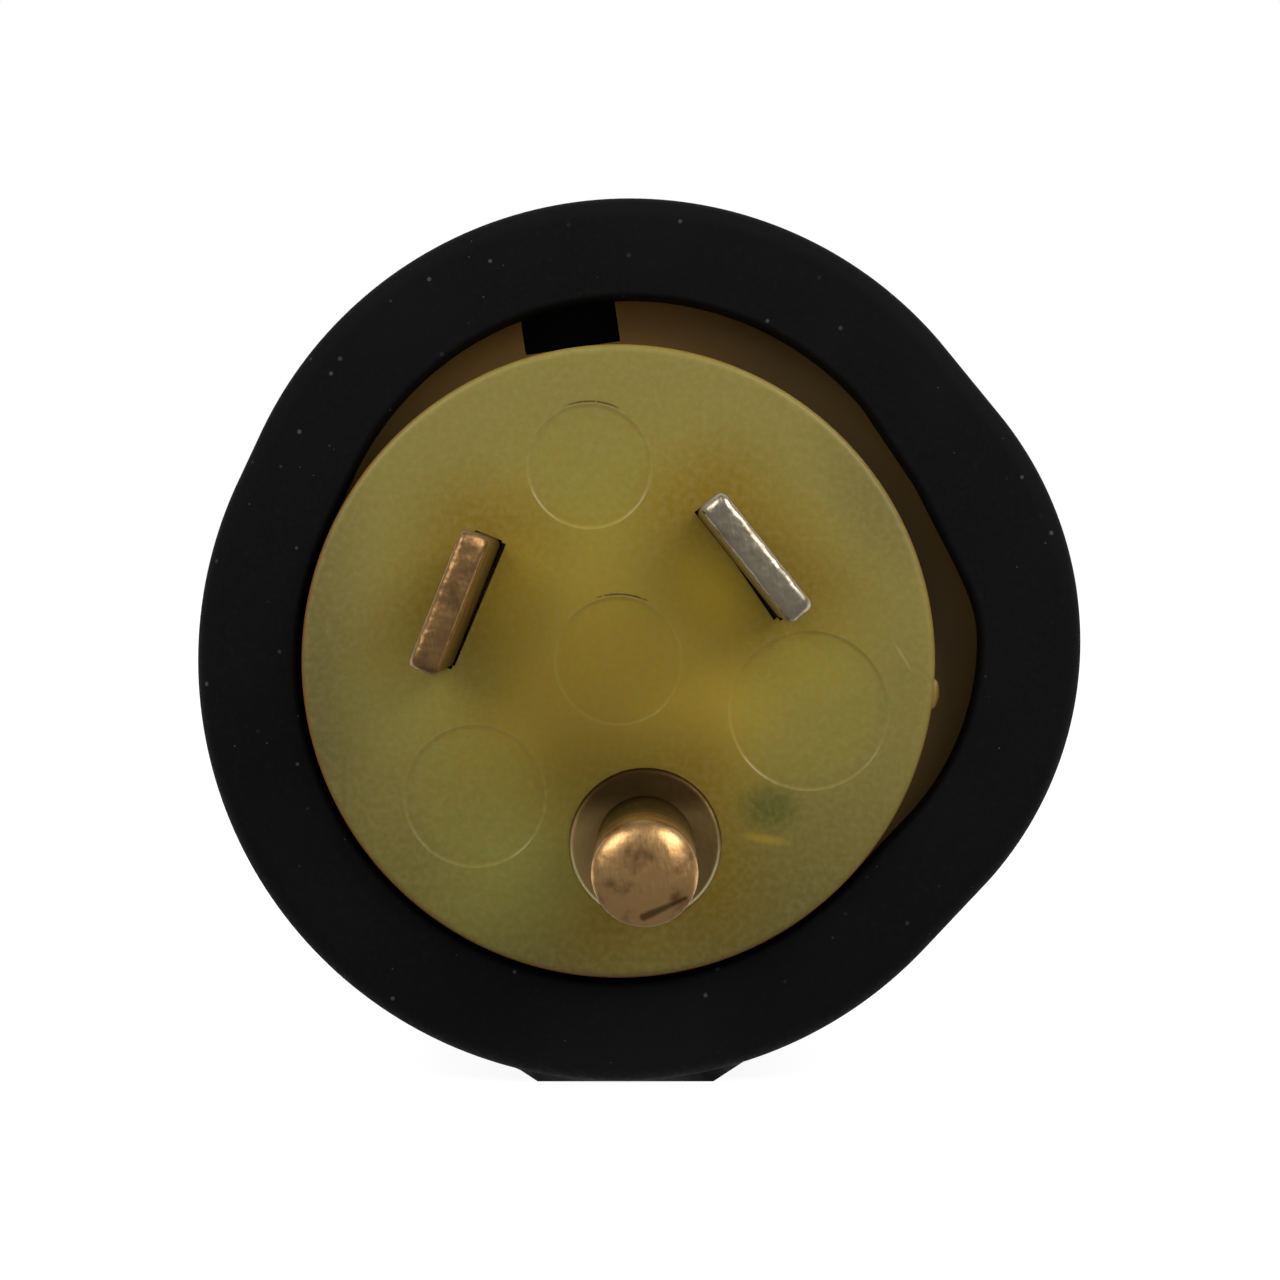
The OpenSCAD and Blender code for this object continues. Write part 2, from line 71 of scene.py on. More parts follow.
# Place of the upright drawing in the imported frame
NUT_JOINT = next(joint for joint in frame["joints"] if joint["name"] == "gland_nut_turn")
AXIS_X = NUT_JOINT["pos_m"][0]
AXIS_Z = NUT_JOINT["pos_m"][2]
FACE_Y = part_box("insert")[0].y
FACE_CENTRE = Vector((AXIS_X, FACE_Y, AXIS_Z))
LAID_DOWN = Matrix.Translation(FACE_CENTRE) @ Matrix.Rotation(RIGHT_ANGLE, 4, "X")

BODY = "plug_body"
SHARP_ANGLE = math.radians(38)
THROUGH = 1 * MM             # how far a cutter runs past the face that it opens

# Sizes that meeting pieces share
FIT = 0.07 * MM              # play between moulded pieces, and round the contacts in them
EAR = 2 * MM                 # how far a blade's shoulder stands out to each side
SHOULDER_DEPTH = 1.6 * MM    # height of the shoulders that the retainer traps
COLLAR_SHOULDER = 1.05 * MM  # how far the ground pin's shoulder stands out from its collar
BOSS_HEIGHT = 2.3 * MM       # height of the tapped boss behind a contact's tail
SCREW_RING = 14.6 * MM       # radius of the ring of retainer screws
SCREW_CLEARANCE = 0.2 * MM   # play of a screw in a plain hole
SCREW_STEP = TURN / 6        # turn from a contact to the next retainer screw

# What drawn points carry for the shape rules
LATHE_LAYERS = ("cut", "flute")
SHELL_LAYERS = ("height", "inset", "plain", "neck", "pad", "turn")

# Degrees of each contact about the plug axis, seen from the front, before the clocking
CONTACT_DEGREES = {"hot": 150, "neutral": 30, "ground": 270}
KEY_DEGREES = 90

# Round recesses in the contact face: share of the face's radius, degrees past the keyway, and radius
RECESSES = ((0, 0, 3.7 * MM), (0.62, 0, 3.6 * MM), (0.62, 125, 4.1 * MM), (0.62, -113, 4.6 * MM))
DIRTY_RECESSES = 2           # how many of them, from the first, have dirt along part of the rim

# Soft patches on the contact face. The first two are painted light that lifts the blades' shadows beside
# their inner sides, and the others are lighter or darker tones. Each row has a place to the right and up in
# mm, a turn in radians, how stretched the patch is that way, its size in mm, its strength and its colour.
PATCHES = (
    ((5.4, 4.0), -0.89, 1.5, 3.4, 0.8, (180, 150, 26)),
    ((-5.9, 4.1), 1.29, 1.6, 3.0, 0.45, (172, 142, 28)),
    ((-5.4, -12.2), 0.5, 1.3, 6.6, 0.75, (138, 132, 54)),
    ((-11.6, -1.9), 0.3, 1.3, 5.0, 0.6, (142, 136, 62)),
    ((14.8, 9.2), -1.0, 2.2, 3.6, 0.5, (102, 92, 44)),
    ((12.0, 0.9), -0.3, 1.3, 4.0, 0.3, (170, 152, 54)))
# A smudge, a streak and a scratch, in rows of the same kind
STAINS = (
    ((8.7, -8.4), 0.0, 1.3, 2.1, 0.72, (78, 82, 22)),
    ((8.4, -10.2), -0.16, 5.0, 0.42, 0.45, (176, 150, 30)),
    ((16.3, 0.3), -1.02, 12.0, 0.13, 0.35, (186, 172, 112)))


# Places that several pieces share

def front(node):
    """Height of a CAD node's front end above the contact face."""
    return FACE_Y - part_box(node)[0].y


def rear(node):
    """Height of a CAD node's rear end above the contact face."""
    return FACE_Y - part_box(node)[1].y


def reach(node):
    """Half the width of a CAD node that is round about the plug axis."""
    low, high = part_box(node)
    return (high.x - low.x) / 2


def span(node):
    """Heights of the front and the rear of a round CAD node above the contact face, and its radius."""
    return front(node), rear(node), reach(node)


def screw_height():
    """Height of the terminal screws, in the middle of their clamp plates."""
    low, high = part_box("hot_clamp")
    return FACE_Y - (low.y + high.y) / 2


def flange_front(face):
    """Height of the front of the insert's flange. Its rear is the insert's own."""
    return rear("insert") + face.flange


def contact_turns(face):
    """Angle of each contact about the plug axis, seen from the front."""
    return {which: math.radians(degrees) + face.clock for which, degrees in CONTACT_DEGREES.items()}


def key_turn(face):
    """Angle of the keyway about the plug axis."""
    return math.radians(KEY_DEGREES) + face.clock


def recesses(face):
    """Round recesses in the face: distance from the plug axis, angle about it, and radius."""
    return [(face.radius * part, key_turn(face) + math.radians(degrees), radius)
            for part, degrees, radius in RECESSES]


def contact_place(which, face, contacts):
    """Where a contact comes through the face: distance from the plug axis, and angle about it."""
    out = contacts.pin_pitch if which == "ground" else contacts.blade_pitch
    return out, contact_turns(face)[which]


def contact_slot(which):
    """Material slot of a contact and of its clamp plate."""
    return "plated_brass" if which == "neutral" else "brass"


def face_place(out, turn, centre=FACE_CENTRE):
    """Place on the contact face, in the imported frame."""
    return centre + Vector((out * math.cos(turn), 0, out * math.sin(turn)))


def tail_span(contacts):
    """Inner and outer distance of a contact's tail from the plug axis."""
    half = contacts.blade_thick / 2
    return contacts.blade_pitch - half, contacts.blade_pitch + half


# Settings that a user would change

def length(name, description, default):
    return bpy.props.FloatProperty(
        name=name, description=description, default=default, unit="LENGTH", precision=5)


def angle(name, description, default):
    return bpy.props.FloatProperty(name=name, description=description, default=default, unit="ROTATION")


def share(name, description, default):
    return bpy.props.FloatProperty(
        name=name, description=description, default=default, min=0, subtype="FACTOR")


def count(name, description, default):
    return bpy.props.IntProperty(name=name, description=description, default=default, min=1)


def linear(red, green, blue):
    """Linear colour of an sRGB colour given in steps of 255."""
    steps = [value / 255 for value in (red, green, blue)]
    return [s / 12.92 if s <= 0.04045 else ((s + 0.055) / 1.055) ** 2.4 for s in steps]


def colour(name, description, red, green, blue):
    return bpy.props.FloatVectorProperty(
        name=name, description=description, default=linear(red, green, blue), subtype="COLOR", min=0, max=1)


class ShellSizes(bpy.types.PropertyGroup):
    """Sizes of the rubber shell"""
    lip_wall: length("Lip wall", "Thickness of the lip round the contact face", 6 * MM)
    lip_round: length("Lip rounding", "Rounding of the lip's outer edge", 1.2 * MM)
    mouth_round: length("Mouth rounding", "Rounding of the lip's inner edge", 0.35 * MM)
    right_x: length("Right corner across", "Sideways offset of the right corner", 6 * MM)
    right_y: length("Right corner up", "Upward offset of the right corner", 1.1 * MM)
    right_cut: length("Right corner cut", "How much smaller the right corner's radius is", 3.6 * MM)
    top_x: length("Top corner across", "Sideways offset of the top corner", 0.65 * MM)
    top_y: length("Top corner up", "Upward offset of the top corner", 3.15 * MM)
    top_cut: length("Top corner cut", "How much smaller the top corner's radius is", 0.75 * MM)
    grip_count: count("Grip grooves", "Number of grip grooves round the barrel", 4)
    grip_pitch: length("Groove pitch", "Distance between neighbouring grip grooves", 4.6 * MM)
    grip_width: length("Groove width", "Width of a grip groove", 2.4 * MM)
    grip_depth: length("Groove depth", "Depth of a grip groove", 0.9 * MM)
    taper: length("Taper length", "Length of the taper from the barrel to the neck", 12 * MM)
    neck_radius: length("Neck radius", "Radius of the neck", 17.5 * MM)
    neck_bore: length("Neck bore", "Radius of the bore through the neck", 12.35 * MM)
    pad_half: length("Pad half width", "Half the width of the flat pad below", 5.1 * MM)
    pad_offset: length("Pad offset", "How far the pad's middle lies to the right of the plug axis", 0.4 * MM)
    pad_slope: length("Pad slope", "Width of the pad's sloping sides", 2.3 * MM)
    pad_rise: length("Pad rise", "Height of the pad's sloping sides", 1.5 * MM)
    pad_drop: length("Pad drop", "How far the pad stands below the barrel", 0.1 * MM)
    chamber: length("Chamber radius", "Radius of the wiring chamber", 18.583 * MM)


class FaceSizes(bpy.types.PropertyGroup):
    """Sizes of the nylon contact insert"""
    radius: length("Face radius", "Radius of the round contact face", 18.2 * MM)
    edge: length("Face edge", "Rounding of the contact face's rim", 0.5 * MM)
    flange: length("Flange thickness", "Thickness of the insert's flange", 4 * MM)
    clock: angle("Clocking", "Turn of the contacts, from the ground pin straight down", math.radians(8.4))
    key_width: length("Keyway width", "Width of the keyway in the flange", 5.6 * MM)
    recess: length("Recess depth", "Depth of the round recesses moulded in the face", 0.07 * MM)
    recess_wall: length("Recess wall", "Width of the sloping wall of a round recess", 0.17 * MM)
    slot_relief: length("Slot relief", "Open gap along the inner side of a blade's slot", 0.3 * MM)


class ContactSizes(bpy.types.PropertyGroup):
    """Sizes of the blades, the ground pin and their terminals"""
    blade_width: length("Blade width", "Width of a flat blade", 7.9 * MM)
    blade_thick: length("Blade thickness", "Thickness of a flat blade", 1.6 * MM)
    blade_pitch: length("Blade pitch", "Distance of a blade's middle from the plug axis", 9.55 * MM)
    blade_corner: length("Blade corner", "Rounding of the corners of a blade's tip", 0.75 * MM)
    blade_edge: length("Blade edge", "Rounding of a blade's long edges", 0.36 * MM)
    pin_radius: length("Pin radius", "Radius of the ground pin", 2.8 * MM)
    pin_pitch: length("Pin pitch", "Distance of the ground pin from the plug axis", 10.6 * MM)
    pin_round: length("Pin rounding", "Rounding of the ground pin's tip", 1.1 * MM)
    collar_radius: length("Collar radius", "Radius of the ground pin's collar", 4.35 * MM)
    collar_proud: length("Collar height", "How far the collar stands ahead of the face", 0.4 * MM)
    collar_edge: length("Collar edge", "Bevel of the collar's rim", 0.3 * MM)
    screw_radius: length("Screw radius", "Radius of a terminal screw's thread", 2.05 * MM)
    head_radius: length("Head radius", "Radius of a terminal screw's head", 3.9 * MM)
    head_height: length("Head height", "Height of a terminal screw's head", 2.3 * MM)
    screw_lead: length("Screw lead", "Travel of a terminal screw in one turn", 0.79375 * MM)
    wire_gap: length("Wire gap", "Room for a conductor under a clamp plate", 3.2 * MM)
    clamp_side: length("Clamp side", "Side of a square clamp plate", 9 * MM)
    clamp_thick: length("Clamp thickness", "Thickness of a clamp plate", 1.5 * MM)


class GlandSizes(bpy.types.PropertyGroup):
    """Sizes of the cord gland"""
    seal_bore: length("Seal bore", "Radius of the bore through the cord seal", 8.8 * MM)
    exit_radius: length("Exit radius", "Radius of the hole in the gland nut's end", 9.3 * MM)
    sleeve_radius: length("Sleeve radius", "Radius of the sleeve's front tube", 12.3 * MM)
    sleeve_bore: length("Sleeve bore", "Radius of the sleeve's front bore", 10.6 * MM)
    seat_radius: length("Seat radius", "Radius of the seal's seat in the sleeve", 12.05 * MM)
    thread_radius: length("Thread radius", "Radius of the sleeve's gland thread", 14.15 * MM)
    nut_bore: length("Nut bore", "Radius of the gland nut's bore", 14.21 * MM)
    thread_lead: length("Thread lead", "Travel of the gland nut in one turn", 1.5 * MM)
    thread_depth: length("Thread depth", "Depth of the gland threads", 0.55 * MM)
    flutes: count("Flutes", "Number of finger flutes round the gland nut", 12)
    flute_radius: length("Flute radius", "Radius of a finger flute", 2.4 * MM)
    flute_depth: length("Flute depth", "Depth of a finger flute", 0.9 * MM)
    collet_slots: count("Collet slots", "Number of slots in the split collet", 8)


class PlugFinishes(bpy.types.PropertyGroup):
    """Colours of the plug's finishes"""
    rubber: colour("Shell rubber", "Matte black rubber of the shell", 10, 10, 10.3)
    rubber_bloom: colour("Rubber bloom", "Faint bloom on the rubber", 14, 14, 14.5)
    rubber_grain: colour("Rubber grain", "Grain of the rubber", 19, 19, 20)
    dust: colour("Dust", "Pale specks on the rubber", 120, 118, 112)
    nylon: colour("Face nylon", "Most of the contact face", 148, 129, 40)
    # Painted light: the lighter middle of the face
    nylon_middle_light: colour("Face nylon middle", "Lighter nylon in the middle of the face", 184, 153, 42)
    nylon_rim: colour("Face nylon rim", "Paler nylon near the rim of the face", 134, 122, 56)
    # Painted shade: deeper amber where the contacts shade the translucent nylon
    nylon_contact_shade: colour("Face nylon deep", "Amber nylon round the contacts", 128, 101, 3)
    nylon_recess: colour("Recess nylon", "Greener nylon in the outer recesses", 140, 134, 52)
    # Painted light: pale lines where light catches the rims of the recesses
    recess_rim_light: colour("Recess rim", "Pale rims of the round recesses", 176, 166, 112)
    # Painted shade: the face darker in its lower half
    nylon_low_shade: colour("Face nylon below", "Darker nylon in the lower half of the face", 72, 64, 24)
    # Painted shade: the left rim of the face darker
    nylon_left_shade: colour("Face nylon left", "Dull nylon at the left rim of the face", 86, 77, 46)
    nylon_grain: colour("Face nylon grain", "Pale grain in the nylon", 160, 148, 92)
    nylon_speck: colour("Face nylon specks", "Sparse dark specks in the nylon", 62, 46, 16)
    dirt: colour("Dirt", "Thin arcs of dirt along two recesses", 60, 34, 4)
    # Painted light: the orange glow along the face's rounded rim
    nylon_edge_glow: colour("Face nylon edge", "Orange line at the rim of the face", 128, 82, 20)
    nylon_flange: colour("Flange nylon", "Amber nylon of the flange", 96, 72, 24)
    flange_lit: colour("Flange nylon at keyway", "Lighter nylon of the flange near its keyway", 150, 108, 36)
    brass: colour("Brass", "Clean brass", 238, 188, 124)
    brass_worn: colour("Worn brass", "Tarnish on the brass", 132, 100, 66)
    collar: colour("Collar", "Dull brass of the ground pin's collar", 188, 157, 101)
    # Painted shade: the collar darker above and to the right of the pin
    collar_shade: colour("Dark collar", "Upper part of the ground pin's collar", 92, 70, 38)
    # Painted highlight: a bright line round the collar's lower rim
    collar_highlight: colour("Rubbed collar", "Bright line round the rim of the collar", 255, 246, 190)
    bronze: colour("Bronze", "Dull brass at the foot of a blade", 84, 62, 30)
    # Painted shade: the ground pin's upper side darker near the face
    pin_top_shade: colour("Tarnish", "Dark upper side of the ground pin", 56, 42, 25)
    score: colour("Score", "Scored line across the ground pin's tip", 70, 52, 40)
    plated: colour("Plating", "Bright plating of the silver contact", 244, 230, 204)
    plated_worn: colour("Worn plating", "Dull patches of the plating", 158, 146, 124)
    dull_plating: colour("Dull plating", "Dark plating round the foot of a contact", 134, 122, 92)
    black_nylon: colour("Black nylon", "Moulded gland pieces", 30, 30, 31)
    black_flow: colour("Black nylon flow", "Faint flow of colour in the black nylon", 40, 40, 42)
    white_nylon: colour("White nylon", "Retainer and collet", 222, 218, 204)
    white_flow: colour("White nylon flow", "Faint flow of colour in the white nylon", 236, 232, 220)
    seal_rubber: colour("Seal rubber", "Cord seal and sealing ring", 40, 40, 40)
    seal_flow: colour("Seal rubber flow", "Faint flow of colour in the seal rubber", 52, 52, 53)
    zinc: colour("Zinc", "Plated steel", 196, 199, 204)
    zinc_dark: colour("Dark zinc", "Darker spangles of the plated steel", 150, 152, 158)
    green: colour("Green screw", "Dyed ground screw", 62, 118, 66)
    green_dark: colour("Dark green screw", "Darker spangles of the ground screw", 36, 78, 42)


class StudioSettings(bpy.types.PropertyGroup):
    """Camera and light"""
    camera_right: length("Camera right", "Sideways offset of the camera from the plug axis", 1.88 * MM)
    camera_up: length("Camera up", "Upward offset of the camera from the plug axis", 5.55 * MM)
    camera_away: length("Camera distance", "Distance of the camera from the contact face", 242 * MM)
    lens: bpy.props.FloatProperty(
        name="Lens", description="Focal length in mm on a 36 mm sensor", default=118.7)
    shift_x: bpy.props.FloatProperty(
        name="Shift X", description="Sideways shift of the frame", default=-0.0086)
    shift_y: bpy.props.FloatProperty(
        name="Shift Y", description="Upward shift of the frame", default=-0.0591)
    lamp_power: bpy.props.FloatProperty(
        name="Lamp power", description="Power of the two soft boxes together", default=0.58, unit="POWER")
    lamp_balance: share("Lamp balance", "Right soft box's share of the power", 0.59)
    ambient: share("Ambient", "Strength of the light from all sides", 0.7)
    tent: share("Tent", "Brightness of the grey tent that the metal reflects", 0.22)


# Meshes

def arc(centre_r, centre_h, radius, start, end, steps):
    """Points of an arc in a profile, with its angles in degrees."""
    turns = [math.radians(start + (end - start) * i / steps) for i in range(steps + 1)]
    return [(centre_r + radius * math.cos(t), centre_h + radius * math.sin(t)) for t in turns]


def soft_corners(points, closed=False, steps=4):
    """Rounds the corners of a drawn outline. A point holds two coordinates and its rounding."""
    rounded = []
    total = len(points)
    for i, point in enumerate(points):
        here = Vector(point[:2])
        size = point[2] if len(point) > 2 else 0
        at_end = not closed and i in (0, total - 1)
        if size == 0 or at_end:
            rounded.append(tuple(here))
            continue
        before = Vector(points[i - 1][:2]) - here
        after = Vector(points[(i + 1) % total][:2]) - here
        start = here + before.normalized() * min(size, before.length * MOST_ROUNDED)
        end = here + after.normalized() * min(size, after.length * MOST_ROUNDED)
        for k in range(steps + 1):
            s = k / steps
            rounded.append(tuple((1 - s) ** 2 * start + 2 * s * (1 - s) * here + s ** 2 * end))
    return rounded


def thread_points(radius, low, high, lead, steps=14):
    """Profile points of a thread from its low end to its high one, with how far it is cut at each."""
    rows = max(2, round(abs(high - low) / lead * steps))
    points = []
    for i in range(rows + 1):
        height = low + (high - low) * i / rows
        from_end = min(abs(height - low), abs(high - height))
        points.append((radius, height, min(1.0, from_end / lead)))
    return points


def lathe(profile, segments):
    """Turns a profile of radius, height, share of thread and share of flute into a closed mesh."""
    mesh = bmesh.new()
    layers = [mesh.verts.layers.float.new(name) for name in LATHE_LAYERS]
    rings = []
    for point in profile:
        ring = []
        for i in range(segments if point[0] > 0 else 1):
            turn = TURN * i / segments
            vert = mesh.verts.new((point[0] * math.cos(turn), point[0] * math.sin(turn), point[1]))
            for layer, value in zip(layers, point[2:]):
                vert[layer] = value
            ring.append(vert)
        rings.append(ring)
    pairs = list(zip(rings, rings[1:]))
    if len(rings[0]) > 1:
        pairs.append((rings[-1], rings[0]))
    for lower, upper in pairs:
        for i in range(segments):
            k = (i + 1) % segments
            corners = list(dict.fromkeys((lower[i % len(lower)], lower[k % len(lower)],
                                          upper[k % len(upper)], upper[i % len(upper)])))
            if len(corners) > 2:
                mesh.faces.new(corners)
    bmesh.ops.recalc_face_normals(mesh, faces=mesh.faces)
    return mesh


def rod(radius, low, high, segments=64):
    """A plain round rod along the axis."""
    return lathe([(0, low), (radius, low), (radius, high), (0, high)], segments)


def block(near, far, width, low, high, soft=0.0):
    """A block that is centred sideways, with rounded edges if soft is set."""
    mesh = bmesh.new()
    bmesh.ops.create_cube(mesh, size=1.0)
    size = Matrix.Diagonal((far - near, width, high - low, 1))
    mesh.transform(Matrix.Translation(((near + far) / 2, 0, (low + high) / 2)) @ size)
    if soft:
        bmesh.ops.bevel(mesh, geom=mesh.edges[:], offset=soft, segments=3, profile=0.5, affect="EDGES")
    return mesh


def bridged(first, second):
    """A closed straight piece between two like outlines, and the edges round both of its ends."""
    mesh = bmesh.new()
    ends = [[mesh.verts.new(place) for place in outline] for outline in (first, second)]
    mesh.faces.new(ends[0])
    mesh.faces.new(list(reversed(ends[1])))
    rims = []
    for i in range(len(first)):
        k = (i + 1) % len(first)
        mesh.faces.new((ends[0][i], ends[0][k], ends[1][k], ends[1][i]))
        rims += [mesh.edges.get((end[i], end[k])) for end in ends]
    bmesh.ops.recalc_face_normals(mesh, faces=mesh.faces)
    return mesh, rims


def prism(outline, low, high):
    """A straight piece with an outline drawn across the axis."""
    return bridged(*[[(x, y, height) for x, y in outline] for height in (low, high)])[0]


def plate(outline, near, far, edge):
    """A flat piece drawn sideways and upwards, from near to far outwards, with rounded long edges."""
    mesh, rims = bridged(*[[(out, across, up) for across, up in outline] for out in (near, far)])
    bmesh.ops.bevel(mesh, geom=rims, offset=edge, segments=3, profile=0.5, affect="EDGES",
                    clamp_overlap=False)
    return mesh


def moved(mesh, turn=0.0, out=0.0, height=0.0):
    """Moves a drawn mesh out from the axis, then turns it about the axis and lifts it."""
    mesh.transform(Matrix.Rotation(turn, 4, "Z") @ Matrix.Translation((out, 0, height)))
    return mesh


def laid_outwards(mesh, turn, height):
    """Lays a mesh that was drawn about its own axis so that it points outwards at an angle."""
    mesh.transform(Matrix.Translation((0, 0, height)) @ Matrix.Rotation(turn, 4, "Z")
                   @ Matrix.Rotation(RIGHT_ANGLE, 4, "Y"))
    return mesh


def piece_from(mesh, name):
    """A new object that holds a drawn mesh."""
    data = bpy.data.meshes.new(name)
    mesh.to_mesh(data)
    mesh.free()
    piece = bpy.data.objects.new(name, data)
    bpy.context.scene.collection.objects.link(piece)
    return piece


def turned(name, outline, segments):
    """A new object that is round about the axis."""
    return piece_from(lathe(outline, segments), name)


def bake(piece):
    """Makes what a piece's modifiers give its own plain mesh."""
    depsgraph = bpy.context.evaluated_depsgraph_get()
    made = bpy.data.meshes.new_from_object(piece.evaluated_get(depsgraph))
    drawn = piece.data
    piece.modifiers.clear()
    piece.data = made
    bpy.data.meshes.remove(drawn)


def carve(piece, tool, operation="DIFFERENCE"):
    """Cuts a tool out of a piece, or joins it on."""
    cutter = piece_from(tool, "carving_tool")
    modifier = piece.modifiers.new("carve", "BOOLEAN")
    modifier.operation = operation
    modifier.solver = "EXACT"
    modifier.object = cutter
    bake(piece)
    bpy.data.meshes.remove(cutter.data)


def settle(piece, finish, body, slot, node, sharp=SHARP_ANGLE):
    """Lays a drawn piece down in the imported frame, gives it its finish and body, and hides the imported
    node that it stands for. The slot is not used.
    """
    mesh = piece.data
    mesh.transform(LAID_DOWN)
    for name in LATHE_LAYERS + SHELL_LAYERS:
        if name in mesh.attributes:
            mesh.attributes.remove(mesh.attributes[name])
    mesh.materials.clear()
    mesh.materials.append(finish)
    mesh.polygons.foreach_set("material_index", [0] * len(mesh.polygons))
    mesh.shade_smooth()
    mesh.set_sharp_from_angle(angle=sharp)
    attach(piece, body)
    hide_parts(node)


# Node trees

def math_node(operation, swapped=False):
    """A method that works out a wire and another number with one Math node."""
    def method(wire, other=0.0):
        pair = (other, wire) if swapped else (wire, other)
        return wire.bench.math(operation, *pair)
    return method


class Wire:
    """A number in a node tree, for plain sums: each step adds a Math node"""

    def __init__(self, bench, socket):
        self.bench = bench
        self.socket = socket

    __add__ = math_node("ADD")
    __radd__ = math_node("ADD", swapped=True)
    __sub__ = math_node("SUBTRACT")
    __rsub__ = math_node("SUBTRACT", swapped=True)
    __mul__ = math_node("MULTIPLY")
    __rmul__ = math_node("MULTIPLY", swapped=True)
    __truediv__ = math_node("DIVIDE")
    __rtruediv__ = math_node("DIVIDE", swapped=True)
    __gt__ = math_node("GREATER_THAN")
    __lt__ = math_node("LESS_THAN")
    __abs__ = math_node("ABSOLUTE")


class NodeBench:
    """Short calls for the nodes of one tree, whether it makes a shape or a finish"""

    def __init__(self, tree):
        self.tree = tree

    def add(self, kind, inputs=None, **settings):
        """Adds a node with its settings, and links or sets its inputs."""
        node = self.tree.nodes.new(kind)
        for name, value in settings.items():
            setattr(node, name, value)
        for name, value in (inputs or {}).items():
            self.feed(node.inputs[name], value)
        return node

    def feed(self, socket, value):
        """Links a wire or another socket to a socket, or sets it to a plain value."""
        if isinstance(value, Wire):
            value = value.socket
        if isinstance(value, bpy.types.NodeSocket):
            self.tree.links.new(value, socket)
        else:
            socket.default_value = value

    def number(self, kind, inputs=None, output=0, **settings):
        """Adds a node, and gives the number that it works out."""
        return Wire(self, self.add(kind, inputs, **settings).outputs[output])

    def math(self, operation, first, second=0.0):
        return self.number("ShaderNodeMath", {0: first, 1: second}, operation=operation)

    def most(self, first, *others):
        """The largest of some numbers."""
        for other in others:
            first = self.math("MAXIMUM", first, other)
        return first

    def vector(self, operation, first, second=(0, 0, 0)):
        return self.add("ShaderNodeVectorMath", {0: first, 1: second}, operation=operation).outputs["Vector"]

    def joined(self, x=0.0, y=0.0, z=0.0):
        """A vector from three numbers."""
        return self.add("ShaderNodeCombineXYZ", {0: x, 1: y, 2: z}).outputs[0]

    def split(self, vector):
        """The three numbers of a vector."""
        return [Wire(self, socket) for socket in self.add("ShaderNodeSeparateXYZ", {0: vector}).outputs]

    def size(self, vector):
        return self.number("ShaderNodeVectorMath", {0: vector}, "Value", operation="LENGTH")

    def smooth(self, value, low, high, at_low=0.0, at_high=1.0):
        """Runs from at_low to at_high with soft ends, as the value goes from low to high."""
        return self.number("ShaderNodeMapRange", {0: value, 1: low, 2: high, 3: at_low, 4: at_high},
                           interpolation_type="SMOOTHSTEP")


class ShapeRule(NodeBench):
    """A Geometry Nodes tree with named sizes, which ends in plain geometry and its material"""

    def __init__(self, name, sizes):
        super().__init__(bpy.data.node_groups.new(name, "GeometryNodeTree"))
        sockets = self.tree.interface
        sockets.new_socket("Geometry", in_out="INPUT", socket_type="NodeSocketGeometry")
        for size in sizes:
            sockets.new_socket(size, in_out="INPUT", socket_type="NodeSocketFloat")
        sockets.new_socket("Material", in_out="INPUT", socket_type="NodeSocketMaterial")
        sockets.new_socket("Geometry", in_out="OUTPUT", socket_type="NodeSocketGeometry")
        given = self.add("NodeGroupInput").outputs
        self.geometry = given["Geometry"]
        self.material = given["Material"]
        self.sizes = {size: Wire(self, given[size]) for size in sizes}
        self.output = self.add("NodeGroupOutput")

    def attribute(self, name):
        return self.number("GeometryNodeInputNamedAttribute", {"Name": name}, "Attribute", data_type="FLOAT")

    def about_axis(self):
        """Every point's place, its turns about the axis and its distance from it."""
        position = self.add("GeometryNodeInputPosition").outputs[0]
        place = self.split(position)
        turns = self.math("ARCTAN2", place[1], place[0]) / TURN
        radius = self.size(self.vector("MULTIPLY", position, (1, 1, 0)))
        return place, turns, self.most(radius, TINY)

    def placed(self, x, y, z):
        """The drawn geometry with every point at a computed place."""
        return self.add("GeometryNodeSetPosition",
                        {"Geometry": self.geometry, "Position": self.joined(x, y, z)}).outputs[0]

    def sunk(self, place, radius, depth):
        """The drawn geometry with every point moved towards the axis."""
        scale = (radius - depth) / radius
        return self.placed(place[0] * scale, place[1] * scale, place[2])

    def closed(self, geometry):
        """Ends the tree with real geometry and its material."""
        real = self.add("GeometryNodeRealizeInstances", {"Geometry": geometry}).outputs[0]
        named = self.add("GeometryNodeSetMaterial", {"Geometry": real, "Material": self.material})
        self.feed(self.output.inputs[0], named.outputs[0])
        return self

    def apply(self, piece, finish, **sizes):
        """Runs the tree on a piece, and leaves a plain mesh."""
        values = {name.replace("_", " ").capitalize(): value for name, value in sizes.items()}
        values["Material"] = finish
        modifier = piece.modifiers.new(self.tree.name, "NODES")
        modifier.node_group = self.tree
        for socket in self.tree.interface.items_tree:
            if socket.in_out == "INPUT" and socket.name in values:
                modifier[socket.identifier] = values[socket.name]
        bake(piece)


